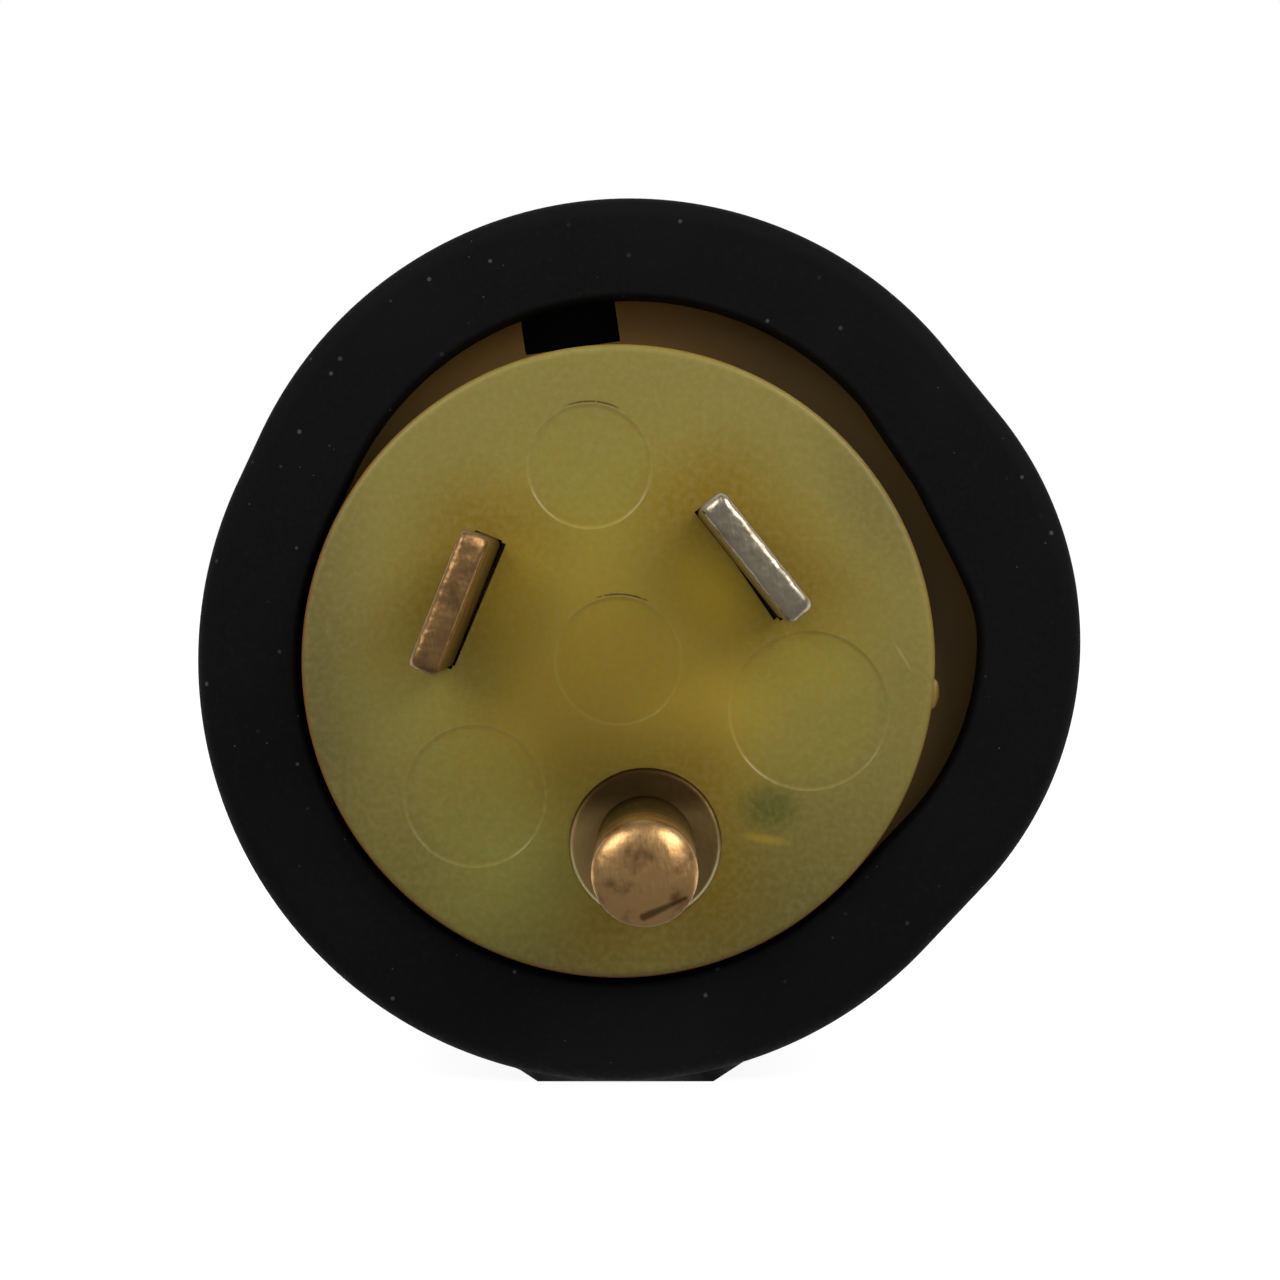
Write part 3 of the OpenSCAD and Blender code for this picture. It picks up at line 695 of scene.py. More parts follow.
def shell_rule():
    """Sets rings to the tight loop round three corner circles, with a round neck and a flat pad."""
    rule = ShapeRule("Three-cornered shell", (
        "Outer radius", "Right x", "Right y", "Right cut", "Top x", "Top y", "Top cut", "Neck radius",
        "Pad half", "Pad offset", "Pad slope", "Pad rise", "Pad foot"))
    size = rule.sizes
    outer = size["Outer radius"]
    turn = rule.attribute("turn")
    inset = rule.attribute("inset")
    plain = rule.attribute("plain")
    way = (rule.math("COSINE", turn), rule.math("SINE", turn))
    corners = [(0.0, 0.0, outer),
               (size["Right x"], size["Right y"], outer - size["Right cut"]),
               (size["Top x"], size["Top y"], outer - size["Top cut"])]
    reaches = [x * way[0] + y * way[1] + radius for x, y, radius in corners]
    furthest = rule.most(*reaches)
    place = [0.0, 0.0]
    for (x, y, radius), far in zip(corners, reaches):
        chosen = rule.add("FunctionNodeCompare", {0: far, 1: furthest},
                          data_type="FLOAT", operation="GREATER_EQUAL").outputs[0]
        for k, middle in enumerate((x, y)):
            point = middle + (radius - inset) * way[k]
            place[k] = rule.number("GeometryNodeSwitch", {"Switch": chosen, "False": place[k], "True": point},
                                   input_type="FLOAT")
    neck_out = size["Neck radius"] - inset
    for k in range(2):
        for mix, out in ((rule.attribute("neck"), neck_out), (plain > 0.0, plain)):
            place[k] = place[k] + mix * (out * way[k] - place[k])
    aside = abs(place[0] - size["Pad offset"])
    past_flat = rule.most(aside - size["Pad half"], 0.0)
    sole = size["Pad foot"] + past_flat * (size["Pad rise"] / size["Pad slope"])
    over_pad = (aside < size["Pad half"] + size["Pad slope"]) * (place[1] < 0.0)
    drop = rule.most(place[1] - sole, 0.0) * (over_pad * rule.attribute("pad"))
    return rule.closed(rule.placed(place[0], place[1] - drop, rule.attribute("height")))


def thread_rule():
    """Cuts a right-hand thread into the points that carry a cut. A negative depth cuts outwards."""
    rule = ShapeRule("Helical thread", ("Lead", "Depth"))
    place, turns, radius = rule.about_axis()
    phase = rule.math("FRACT", place[2] / rule.sizes["Lead"] - turns)
    from_crest = abs(phase - 0.5) * 2.0
    groove = rule.smooth(from_crest, 0.18, 0.82, 1.0, 0.0)
    return rule.closed(rule.sunk(place, radius, groove * rule.sizes["Depth"] * rule.attribute("cut")))


def flute_rule():
    """Presses evenly spaced finger flutes into the points that carry a share of flute."""
    rule = ShapeRule("Finger flutes", ("Flutes", "Nut radius", "Flute radius", "Flute depth"))
    size = rule.sizes
    place, turns, radius = rule.about_axis()
    cut = rule.attribute("flute") * size["Flute depth"]
    off = (rule.math("FRACT", turns * size["Flutes"]) - 0.5) / size["Flutes"] * TURN
    middle = size["Nut radius"] + (size["Flute radius"] - cut)
    aside = middle * rule.math("SINE", off)
    inside = rule.math("POWER", size["Flute radius"], 2.0) - rule.math("POWER", aside, 2.0)
    floor = middle * rule.math("COSINE", off) - rule.math("SQRT", rule.most(inside, 0.0))
    in_flute = (inside > 0.0) * (cut > 0.0)
    return rule.closed(rule.sunk(place, radius, rule.most(radius - floor, 0.0) * in_flute))


def ring_rule():
    """Sets copies of a drawn piece in a ring about the plug axis."""
    rule = ShapeRule("Ring of copies", ("Copies", "Ring radius", "First turn"))
    size = rule.sizes
    turn = size["First turn"] + rule.number("GeometryNodeInputIndex") * (TURN / size["Copies"])
    points = rule.add("GeometryNodePoints", {0: size["Copies"], "Position": rule.joined(
        size["Ring radius"] * rule.math("COSINE", turn), size["Ring radius"] * rule.math("SINE", turn))})
    copies = rule.add("GeometryNodeInstanceOnPoints", {
        "Points": points.outputs[0], "Instance": rule.geometry, "Rotation": rule.joined(z=turn)})
    return rule.closed(copies.outputs[0])


# Finishes

class Finish(NodeBench):
    """A procedural material on object coordinates"""

    def __init__(self, name, **sockets):
        self.material = bpy.data.materials.new(name)
        self.material.use_nodes = True
        super().__init__(self.material.node_tree)
        self.tree.nodes.clear()
        self.shader = self.add("ShaderNodeBsdfPrincipled")
        self.add("ShaderNodeOutputMaterial", {"Surface": self.shader.outputs["BSDF"]})
        self.coords = self.add("ShaderNodeTexCoord").outputs["Object"]
        for socket, value in sockets.items():
            self.feed(self.shader.inputs[socket.replace("_", " ")], value)

    def done(self, shade, rough, normal):
        """Feeds the shader what varies over the surface, and gives the material."""
        for socket, value in (("Base Color", shade), ("Roughness", rough), ("Normal", normal)):
            self.feed(self.shader.inputs[socket], value)
        return self.material

    def mapped(self, location, turn=0.0, scale=(1, 1, 1)):
        """Object coordinates about a place, turned as the plug's angles go, and scaled."""
        return self.add("ShaderNodeMapping", {"Vector": self.coords, "Location": location,
                                              "Rotation": (0, -turn, 0), "Scale": scale},
                        vector_type="TEXTURE").outputs[0]

    def off_axis(self, location):
        """Distance from a line through a place, along the plug axis."""
        return self.size(self.vector("MULTIPLY", self.mapped(location), (1, 0, 1)))

    def noise(self, grain, detail, vector=None):
        """Noise whose grains are about as large as grain."""
        return self.number("ShaderNodeTexNoise", {"Vector": vector or self.coords, "Scale": 1 / grain,
                                                  "Detail": detail, "Roughness": 0.55})

    def cells(self, size):
        """Small cells, each with a chance colour of its own."""
        return self.add("ShaderNodeTexVoronoi", {"Vector": self.coords, "Scale": 1 / size}).outputs

    def specks(self, cell, size, share_of_cells):
        """Sparse round specks of varied strength: one in some of the cells."""
        cells = self.cells(cell)
        here = self.smooth(self.split(cells["Color"])[0], 0.0, share_of_cells, 1.0, 0.0)
        return self.smooth(cells["Distance"], size / cell * 0.5, size / cell, 1.0, 0.0) * here

    def mix(self, factor, first, second, blend="MIX"):
        """Goes from the first colour to the second."""
        first, second = [shade if isinstance(shade, bpy.types.NodeSocket) else tuple(shade) + (1.0,)
                         for shade in (first, second)]
        return self.add("ShaderNodeMix", {0: factor, 6: first, 7: second},
                        data_type="RGBA", blend_type=blend).outputs[2]

    def bump(self, height, strength, depth, under=None):
        """A relief, on top of another one if under is set."""
        inputs = {"Height": height, "Strength": strength, "Distance": depth}
        if under is not None:
            inputs["Normal"] = under
        return self.add("ShaderNodeBump", inputs).outputs[0]


def shell_rubber(colours):
    """Matte black rubber with a fine grain, faint bloom and sparse dust."""
    finish = Finish("shell_rubber", Specular_IOR_Level=0.1)
    bloom = finish.smooth(finish.noise(6 * MM, 4), 0.35, 0.75)
    grain = finish.noise(0.35 * MM, 3)
    shade = finish.mix(bloom * 0.7, colours.rubber, colours.rubber_bloom)
    shade = finish.mix(finish.smooth(grain, 0.44, 0.74, 0.0, 0.6), shade, colours.rubber_grain)
    fine_dust = finish.specks(0.9 * MM, 0.06 * MM, 0.6) * 0.3
    coarse_dust = finish.specks(1.8 * MM, 0.16 * MM, 1.0) * 0.3
    shade = finish.mix(finish.most(fine_dust, coarse_dust), shade, colours.dust)
    return finish.done(shade, finish.smooth(grain, 0.2, 0.8, 0.66, 0.86), finish.bump(grain, 0.35, 0.02 * MM))


def nylon_body(finish, colours, out, up, cloud):
    """Nylon with painted light in the middle, paler to the rim, and painted shade that darkens it below."""
    middle = FACE_CENTRE - Vector((0, 0, 2.5 * MM))
    # Painted light in the middle of the face
    from_middle = finish.size(finish.mapped(middle, scale=(1.35, 1, 1)))
    in_middle = finish.smooth(from_middle, 1 * MM, 10 * MM, 1.0, 0.0)
    shade = finish.mix(in_middle, colours.nylon, colours.nylon_middle_light)
    to_rim = finish.smooth(out + cloud * (5 * MM), 9 * MM, 19 * MM)
    shade = finish.mix(to_rim, shade, colours.nylon_rim)
    # Painted shade, darker towards the bottom of the face
    return finish.mix(finish.smooth(up, -18 * MM, 2 * MM, 0.56, 0.0), shade, colours.nylon_low_shade)


def round_contacts(finish, shade, colours, face, contacts):
    """Painted shade: deeper amber round the blades and the ground pin, where the metal shades the translucent
    nylon.
    """
    half_collar = contacts.collar_radius * 0.7
    half_blade = (contacts.blade_thick / 2, 1, contacts.blade_width / 2)
    for which in CONTACT_DEGREES:
        out, turn = contact_place(which, face, contacts)
        half = (half_collar, 1, half_collar) if which == "ground" else half_blade
        local = finish.vector("ABSOLUTE", finish.mapped(face_place(out, turn), turn))
        apart = finish.vector("MAXIMUM", finish.vector("SUBTRACT", local, half))
        # Painted shade round each contact
        halo = finish.smooth(finish.size(apart), 0.0, 5.5 * MM, 0.84, 0.0)
        shade = finish.mix(halo, shade, colours.nylon_contact_shade)
    return shade


def in_recesses(finish, shade, colours, face, grain):
    """Greener floors in the outer recesses, pale rims of painted light round all, and thin arcs of dirt along
    two.
    """
    rims = 0.0
    for out, turn, radius in recesses(face):
        apart = finish.off_axis(face_place(out, turn))
        if out > 0:
            inside = finish.smooth(apart, radius - 1.2 * MM, radius, 0.26, 0.0)
            shade = finish.mix(inside, shade, colours.nylon_recess)
        off_rim = abs(apart - (radius - 0.05 * MM))
        rims = finish.most(rims, finish.smooth(off_rim, 0.05 * MM, 0.12 * MM, 1.0, 0.0))
    # Painted light along the recess rims
    shade = finish.mix(rims * 0.15, shade, colours.recess_rim_light)
    for out, turn, radius in recesses(face)[:DIRTY_RECESSES]:
        place = face_place(out, turn)
        off_line = abs(finish.off_axis(place) - (radius + 0.14 * MM))
        line = finish.smooth(off_line, 0.02 * MM, 0.08 * MM, 1.0, 0.0)
        middle = face_place(radius, turn - 0.21, place)
        near = finish.smooth(finish.size(finish.mapped(middle)), 1.1 * MM, 1.7 * MM, 0.85, 0.0)
        shade = finish.mix(line * near * finish.smooth(grain, 0.32, 0.46), shade, colours.dirt)
    return shade, rims


def uneven(finish, shade, colours, across, cloud):
    """Soft patches of another tone, two of them painted light over the blades' shadows, painted shade on the
    left rim, and marks of use with ragged edges.
    """
    # Painted shade on the left rim of the face
    left = finish.smooth(across, -18.6 * MM, -13 * MM, 0.6, 0.0)
    shade = finish.mix(left, shade, colours.nylon_left_shade)
    # The first patches are painted light over the blades' shadows
    for rows, ragged, core in ((PATCHES, 0.0, 0.0), (STAINS, 0.2, 0.25)):
        for (x, z), turn, stretch, size, strength, tone in rows:
            place = FACE_CENTRE + Vector((x * MM, 0, z * MM))
            off = finish.size(finish.mapped(place, turn, (stretch, 1, 1)))
            if ragged:
                off = off + cloud * (size * ragged * MM)
            here = finish.smooth(off, size * core * MM, size * MM, strength, 0.0)
            shade = finish.mix(here, shade, linear(*tone))
    return shade


def flange_and_edge(finish, shade, colours, face, out, across, up):
    """Painted light: an orange line at the rim of the face, strongest at the lower left; and the flange
    behind it, with painted light near its keyway.
    """
    # Painted light along the rim, strongest at the lower left
    lower_left = finish.smooth(across + up, -18 * MM, 14 * MM, 0.85, 0.3)
    edge = finish.smooth(out, face.radius - 0.28 * MM, face.radius - 0.05 * MM)
    shade = finish.mix(edge * lower_left, shade, colours.nylon_edge_glow)
    keyway = face_place(reach("insert"), key_turn(face))
    # Painted light on the flange near the keyway
    near_keyway = finish.smooth(finish.size(finish.mapped(keyway)), 3 * MM, 15 * MM, 0.75, 0.0)
    flange_shade = finish.mix(near_keyway, colours.nylon_flange, colours.flange_lit)
    on_flange = finish.smooth(out, face.radius + 0.05 * MM, face.radius + 0.3 * MM)
    return finish.mix(on_flange, shade, flange_shade)


def face_nylon(colours, face, contacts):
    """Waxy amber nylon with a fine grain and sparse specks, and painted light and shade on the face."""
    finish = Finish("face_nylon", Subsurface_Weight=0.25, Subsurface_Scale=1.5 * MM,
                    Subsurface_Radius=(1.0, 0.75, 0.3), Specular_IOR_Level=0.3)
    across, _, up = finish.split(finish.mapped(FACE_CENTRE))
    out = finish.off_axis(FACE_CENTRE)
    cloud = finish.noise(5 * MM, 3)
    grain = finish.noise(0.4 * MM, 3)
    shade = nylon_body(finish, colours, out, up, cloud)
    shade = round_contacts(finish, shade, colours, face, contacts)
    shade, rims = in_recesses(finish, shade, colours, face, grain)
    shade = uneven(finish, shade, colours, across, cloud)
    shade = finish.mix(finish.smooth(grain, 0.35, 0.72, 0.0, 0.18), shade, colours.nylon_grain)
    tint = finish.add("ShaderNodeTexNoise", {"Vector": finish.coords, "Scale": 1 / (0.35 * MM)})
    shade = finish.mix(0.11, shade, tint.outputs["Color"], "OVERLAY")
    shade = finish.mix(finish.specks(4.2 * MM, 0.1 * MM, 0.24) * 0.8, shade, colours.nylon_speck)
    shade = flange_and_edge(finish, shade, colours, face, out, across, up)
    rough = finish.smooth(grain, 0.25, 0.8, 0.36, 0.5) - rims * 0.26
    return finish.done(shade, rough, finish.bump(grain, 0.12, 0.02 * MM, finish.bump(cloud, 0.15, 0.2 * MM)))


def pin_score(finish, pin_centre, pin_radius, height, patches):
    """A tapering scored line across the ground pin's tip."""
    middle = pin_centre + Vector((pin_radius * 0.36, 0, -pin_radius * 0.62))
    along, _, across = finish.split(finish.mapped(middle, math.radians(24)))
    past_end = finish.most(abs(along) - 1.25 * MM, 0.0)
    half_wide = finish.smooth(along, -1.2 * MM, 1.2 * MM, 0.09 * MM, 0.0)
    off = past_end + finish.most(abs(across) - half_wide, 0.0)
    score = finish.smooth(off + patches * (0.06 * MM), 0.03 * MM, 0.24 * MM, 0.75, 0.0)
    return score * finish.smooth(height, 19 * MM, 21 * MM)


def metal(name, clean, worn, foot, rough, colours, face, contacts):
    """Stamped metal: worn patches, dull round its foot, dented tips and fine scratches, with painted shade
    and a painted highlight on the ground pin and its collar.
    """
    finish = Finish(name, Metallic=1.0)
    height = finish.split(finish.mapped(FACE_CENTRE))[1] * -1.0
    patches = finish.noise(1.7 * MM, 4)
    scratches = finish.noise(0.1 * MM, 2, finish.mapped(FACE_CENTRE, face.clock, (1, 1, 12)))
    shade = finish.mix(finish.smooth(patches, 0.48, 0.72, 0.0, 0.85), clean, worn)

    pin_centre = face_place(*contact_place("ground", face, contacts))
    from_pin = finish.off_axis(pin_centre)
    right, _, up = finish.split(finish.mapped(pin_centre))
    above = finish.smooth(up, 0.3 * MM, 3 * MM)
    aside = finish.smooth(right, -1 * MM, 4 * MM, 0.0, 0.62)
    # Painted shade where the pin darkens its collar above and to the right
    collar = finish.mix(finish.most(above, aside), colours.collar, colours.collar_shade)
    # Painted highlight round the lower rim of the collar
    collar_rim = finish.smooth(
        from_pin, contacts.collar_radius - 0.24 * MM, contacts.collar_radius - 0.12 * MM)
    rim_highlight = collar_rim * finish.smooth(up, -2 * MM, 1.5 * MM, 0.9, 0.0)
    collar = finish.mix(rim_highlight, collar, colours.collar_highlight)
    on_collar = finish.smooth(
        height, contacts.collar_proud + 0.02 * MM, contacts.collar_proud + 0.1 * MM, 1.0, 0.0)
    at_foot = finish.smooth(height, -1 * MM, 0.0) * finish.smooth(height, 0.6 * MM, 33 * MM, 1.0, 0.0)
    shade = finish.mix(at_foot, shade, finish.mix(on_collar, foot, collar))

    # Painted shade on the ground pin's upper side
    on_pin = finish.smooth(from_pin, 3.2 * MM, 4 * MM, 1.0, 0.0)
    low_down = finish.smooth(height, 12 * MM, 22 * MM, 1.0, 0.0)
    shade = finish.mix(above * on_pin * low_down * (1.0 - on_collar), shade, colours.pin_top_shade)
    blade_end = finish.smooth(height, 16.8 * MM, 17.7 * MM, 0.0, 0.3)
    below_pin_tip = finish.smooth(height, 18.4 * MM, 19.6 * MM, 1.0, 0.0)
    shade = finish.mix(blade_end * below_pin_tip, shade, worn)
    score = pin_score(finish, pin_centre, contacts.pin_radius, height, patches)
    shade = finish.mix(score, shade, colours.score)

    coarse = finish.smooth(patches + scratches, 0.6, 1.4, rough, rough + 0.2) + at_foot * 0.16
    tips = (finish.smooth(height, 16 * MM, 17.4 * MM, 0.25, 1.0)
            * finish.smooth(height, 18.5 * MM, 20 * MM, 1.0, 0.4))
    dents = (finish.noise(1.5 * MM, 2.5) + finish.noise(4 * MM, 1) * 2.5) * tips
    dented = finish.bump(dents, 0.8, 0.3 * MM)
    return finish.done(shade, coarse, finish.bump(scratches, 0.15, 0.012 * MM, dented))


def moulded(name, shade, paler, rough, grain):
    """Moulded plastic or soft rubber with a fine grain and a faint flow of colour."""
    finish = Finish(name, Specular_IOR_Level=0.4)
    flow = finish.noise(4 * MM, 3)
    fine = finish.noise(grain, 3)
    shade = finish.mix(finish.smooth(flow, 0.3, 0.75, 0.0, 0.6), shade, paler)
    return finish.done(shade, finish.smooth(fine, 0.25, 0.8, rough, rough + 0.16),
                       finish.bump(fine, 0.2, grain * 0.08))


def plated_steel(name, shade, darker, metallic):
    """Thin plating with a spangled grain."""
    finish = Finish(name, Metallic=metallic)
    tone = finish.split(finish.cells(0.8 * MM)["Color"])[0]
    smear = finish.noise(2 * MM, 4)
    shade = finish.mix(tone * smear, shade, darker)
    return finish.done(shade, finish.smooth(smear, 0.3, 0.7, 0.28, 0.46),
                       finish.bump(finish.noise(0.15 * MM, 2), 0.1, 0.01 * MM))


FINISHES = {}


def finish_named(name, scene):
    """The finish of that name, made on its first use."""
    colours = scene.plug_finishes
    on_face = (scene.plug_face, scene.plug_contacts)
    makers = {
        "shell_rubber": lambda: shell_rubber(colours),
        "face_nylon": lambda: face_nylon(colours, *on_face),
        "brass": lambda: metal(
            name, colours.brass, colours.brass_worn, colours.bronze, 0.24, colours, *on_face),
        "plated_brass": lambda: metal(
            name, colours.plated, colours.plated_worn, colours.dull_plating, 0.2, colours, *on_face),
        "black_nylon": lambda: moulded(name, colours.black_nylon, colours.black_flow, 0.4, 0.3 * MM),
        "white_nylon": lambda: moulded(name, colours.white_nylon, colours.white_flow, 0.4, 0.5 * MM),
        "seal_rubber": lambda: moulded(name, colours.seal_rubber, colours.seal_flow, 0.6, 0.2 * MM),
        "zinc_steel": lambda: plated_steel(name, colours.zinc, colours.zinc_dark, 1.0),
        "green_screw": lambda: plated_steel(name, colours.green, colours.green_dark, 0.55)}
    if name not in FINISHES:
        FINISHES[name] = makers[name]()
    return FINISHES[name]


# Operators

class PLUG_OT_make_shell(bpy.types.Operator):
    """Make the three-cornered rubber shell with its lip, pad, grip grooves and neck"""
    bl_idname = "plug.make_shell"
    bl_label = "Rubber Shell"

    points = 240
    round_steps = 8
    groove_steps = 14
    groove_wall = 0.36            # share of a groove's width that each of its sides takes
    taper_steps = 16
    neck_round = 0.8 * MM
    seat_fit = 0.1 * MM           # play round the insert's flange
    taper_lead = 2.5 * MM         # how far ahead of the chamber's end the taper starts
    grip_margin = 0.6 * MM        # plain barrel between the last groove and the taper
    pad_lead = 0.5 * MM           # how far behind the lip's rounding the pad is full
    key_recess = 1.6 * MM         # how far the key ends behind the flange's front
    key_root = 0.5 * MM           # how far the key runs into the wall
    mouth_ease = 0.2 * MM         # how much wider the mouth is all round
    swell = 0.8 * MM              # how much the lip swells into the mouth along the right corner
    swell_turn = math.radians(27)
    swell_half = math.radians(26)
    swell_end = math.radians(39.7)
    halvings = 30                 # steps that close in on the pad's edge

    def thicker(self, turn):
        """How much thicker the lip is at one place of its mouth: it swells along the right corner."""
        off = min(1.0, abs(turn - self.swell_turn) / self.swell_half)
        swell = self.swell * (1 - off * off) ** 2 if turn < self.swell_end else 0.0
        return swell - self.mouth_ease

    def rounding(self, radius):
        """Steps of a rounded edge, from its side to its end: how far each is in from both."""
        turns = [math.radians(90 * i / self.round_steps) for i in range(self.round_steps + 1)]
        return [(radius * (1 - math.cos(t)), radius * (1 - math.sin(t))) for t in turns]

    def rings(self, sizes, face):
        """Rings once round the wall: height, inset, plain radius, share of neck and share of pad."""
        def ring(height, inset=0, plain=0, neck=0, pad=0):
            rings.append((height, inset, plain, neck, pad))

        rings = []
        flange_low = rear("insert")
        flange_high = flange_front(face)
        seat = reach("insert") + self.seat_fit
        lip = front("shell")
        end = rear("shell")
        chamber_end = rear("sleeve_locknut")
        taper = chamber_end + self.taper_lead
        for inset, drop in reversed(self.rounding(sizes.lip_round)):
            ring(lip - drop, inset)
        ring(lip - sizes.lip_round - self.pad_lead, pad=1)
        last = taper + self.grip_margin + sizes.grip_width / 2
        first = last + (sizes.grip_count - 1) * sizes.grip_pitch
        for g in range(sizes.grip_count):
            top = first - g * sizes.grip_pitch + sizes.grip_width / 2
            for i in range(self.groove_steps + 1):
                s = i / self.groove_steps
                wall = min(1.0, min(s, 1 - s) / self.groove_wall)
                ring(top - sizes.grip_width * s, sizes.grip_depth * wall * wall * (3 - 2 * wall), pad=1)
        for i in range(self.taper_steps + 1):
            s = i / self.taper_steps
            ring(taper - sizes.taper * s, neck=s * s * (3 - 2 * s))
        for inset, rise in self.rounding(self.neck_round):
            ring(end + rise, inset, neck=1)
        for height, radius in (
                (end, sizes.neck_bore), (chamber_end, sizes.neck_bore), (chamber_end, sizes.chamber),
                (flange_low, sizes.chamber), (flange_low, seat), (flange_high, seat)):
            ring(height, plain=radius)
        ring(flange_high, sizes.lip_wall)
        for inset, drop in self.rounding(sizes.mouth_round):
            ring(lip - drop, sizes.lip_wall - inset)
        return rings

    def pad_edge(self, side, outer, sizes):
        """Distance from the pad's middle at which its sloping side meets the round barrel."""
        low = sizes.pad_half
        high = sizes.pad_half + sizes.pad_slope
        for _ in range(self.halvings):
            aside = (low + high) / 2
            slope = (aside - sizes.pad_half) * sizes.pad_rise / sizes.pad_slope - outer - sizes.pad_drop
            barrel = -math.sqrt(outer ** 2 - (sizes.pad_offset + side * aside) ** 2)
            low, high = (aside, high) if slope < barrel else (low, aside)
        return low

    def drawn(self, rings, outer, sizes):
        """A plain ring-shaped mesh whose points carry what the shell's rule needs."""
        turns = [TURN * i / self.points for i in range(self.points)]
        for side in (-1, 1):
            for aside in (sizes.pad_half, self.pad_edge(side, outer, sizes)):
                turns.append(0.75 * TURN + math.asin((sizes.pad_offset + side * aside) / outer))
        turns.sort()
        mesh = bmesh.new()
        layers = [mesh.verts.layers.float.new(name) for name in SHELL_LAYERS]
        rows = []
        for height, inset, plain, neck, pad in rings:
            radius = plain or outer - inset - neck * (outer - sizes.neck_radius)
            in_mouth = inset > sizes.lip_wall / 2
            row = []
            for turn in turns:
                vert = mesh.verts.new((radius * math.cos(turn), radius * math.sin(turn), height))
                here = inset + (self.thicker(turn) if in_mouth else 0)
                for layer, value in zip(layers, (height, here, plain, neck, pad, turn)):
                    vert[layer] = value
                row.append(vert)
            rows.append(row)
        for row, below in zip(rows, rows[1:] + rows[:1]):
            for i in range(len(turns)):
                n = (i + 1) % len(turns)
                mesh.faces.new((row[i], row[n], below[n], below[i]))
        bmesh.ops.recalc_face_normals(mesh, faces=mesh.faces)
        return mesh

    def execute(self, context):
        sizes = context.scene.plug_shell
        face = context.scene.plug_face
        outer = AXIS_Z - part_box("shell")[0].z - sizes.pad_drop
        finish = finish_named("shell_rubber", context.scene)
        shell = piece_from(self.drawn(self.rings(sizes, face), outer, sizes), "rubber_shell")
        shared = ("right_x", "right_y", "right_cut", "top_x", "top_y", "top_cut", "neck_radius",
                  "pad_half", "pad_offset", "pad_slope", "pad_rise")
        shell_rule().apply(shell, finish, outer_radius=outer, pad_foot=-outer - sizes.pad_drop,
                           **{name: getattr(sizes, name) for name in shared})
        key = block(sizes.chamber, reach("insert") + self.seat_fit + self.key_root, face.key_width - 2 * FIT,
                    rear("insert") - self.key_root, flange_front(face) - self.key_recess)
        carve(shell, moved(key, key_turn(face)), "UNION")
        settle(shell, finish, BODY, "shell_rubber", "shell")
        return {"FINISHED"}


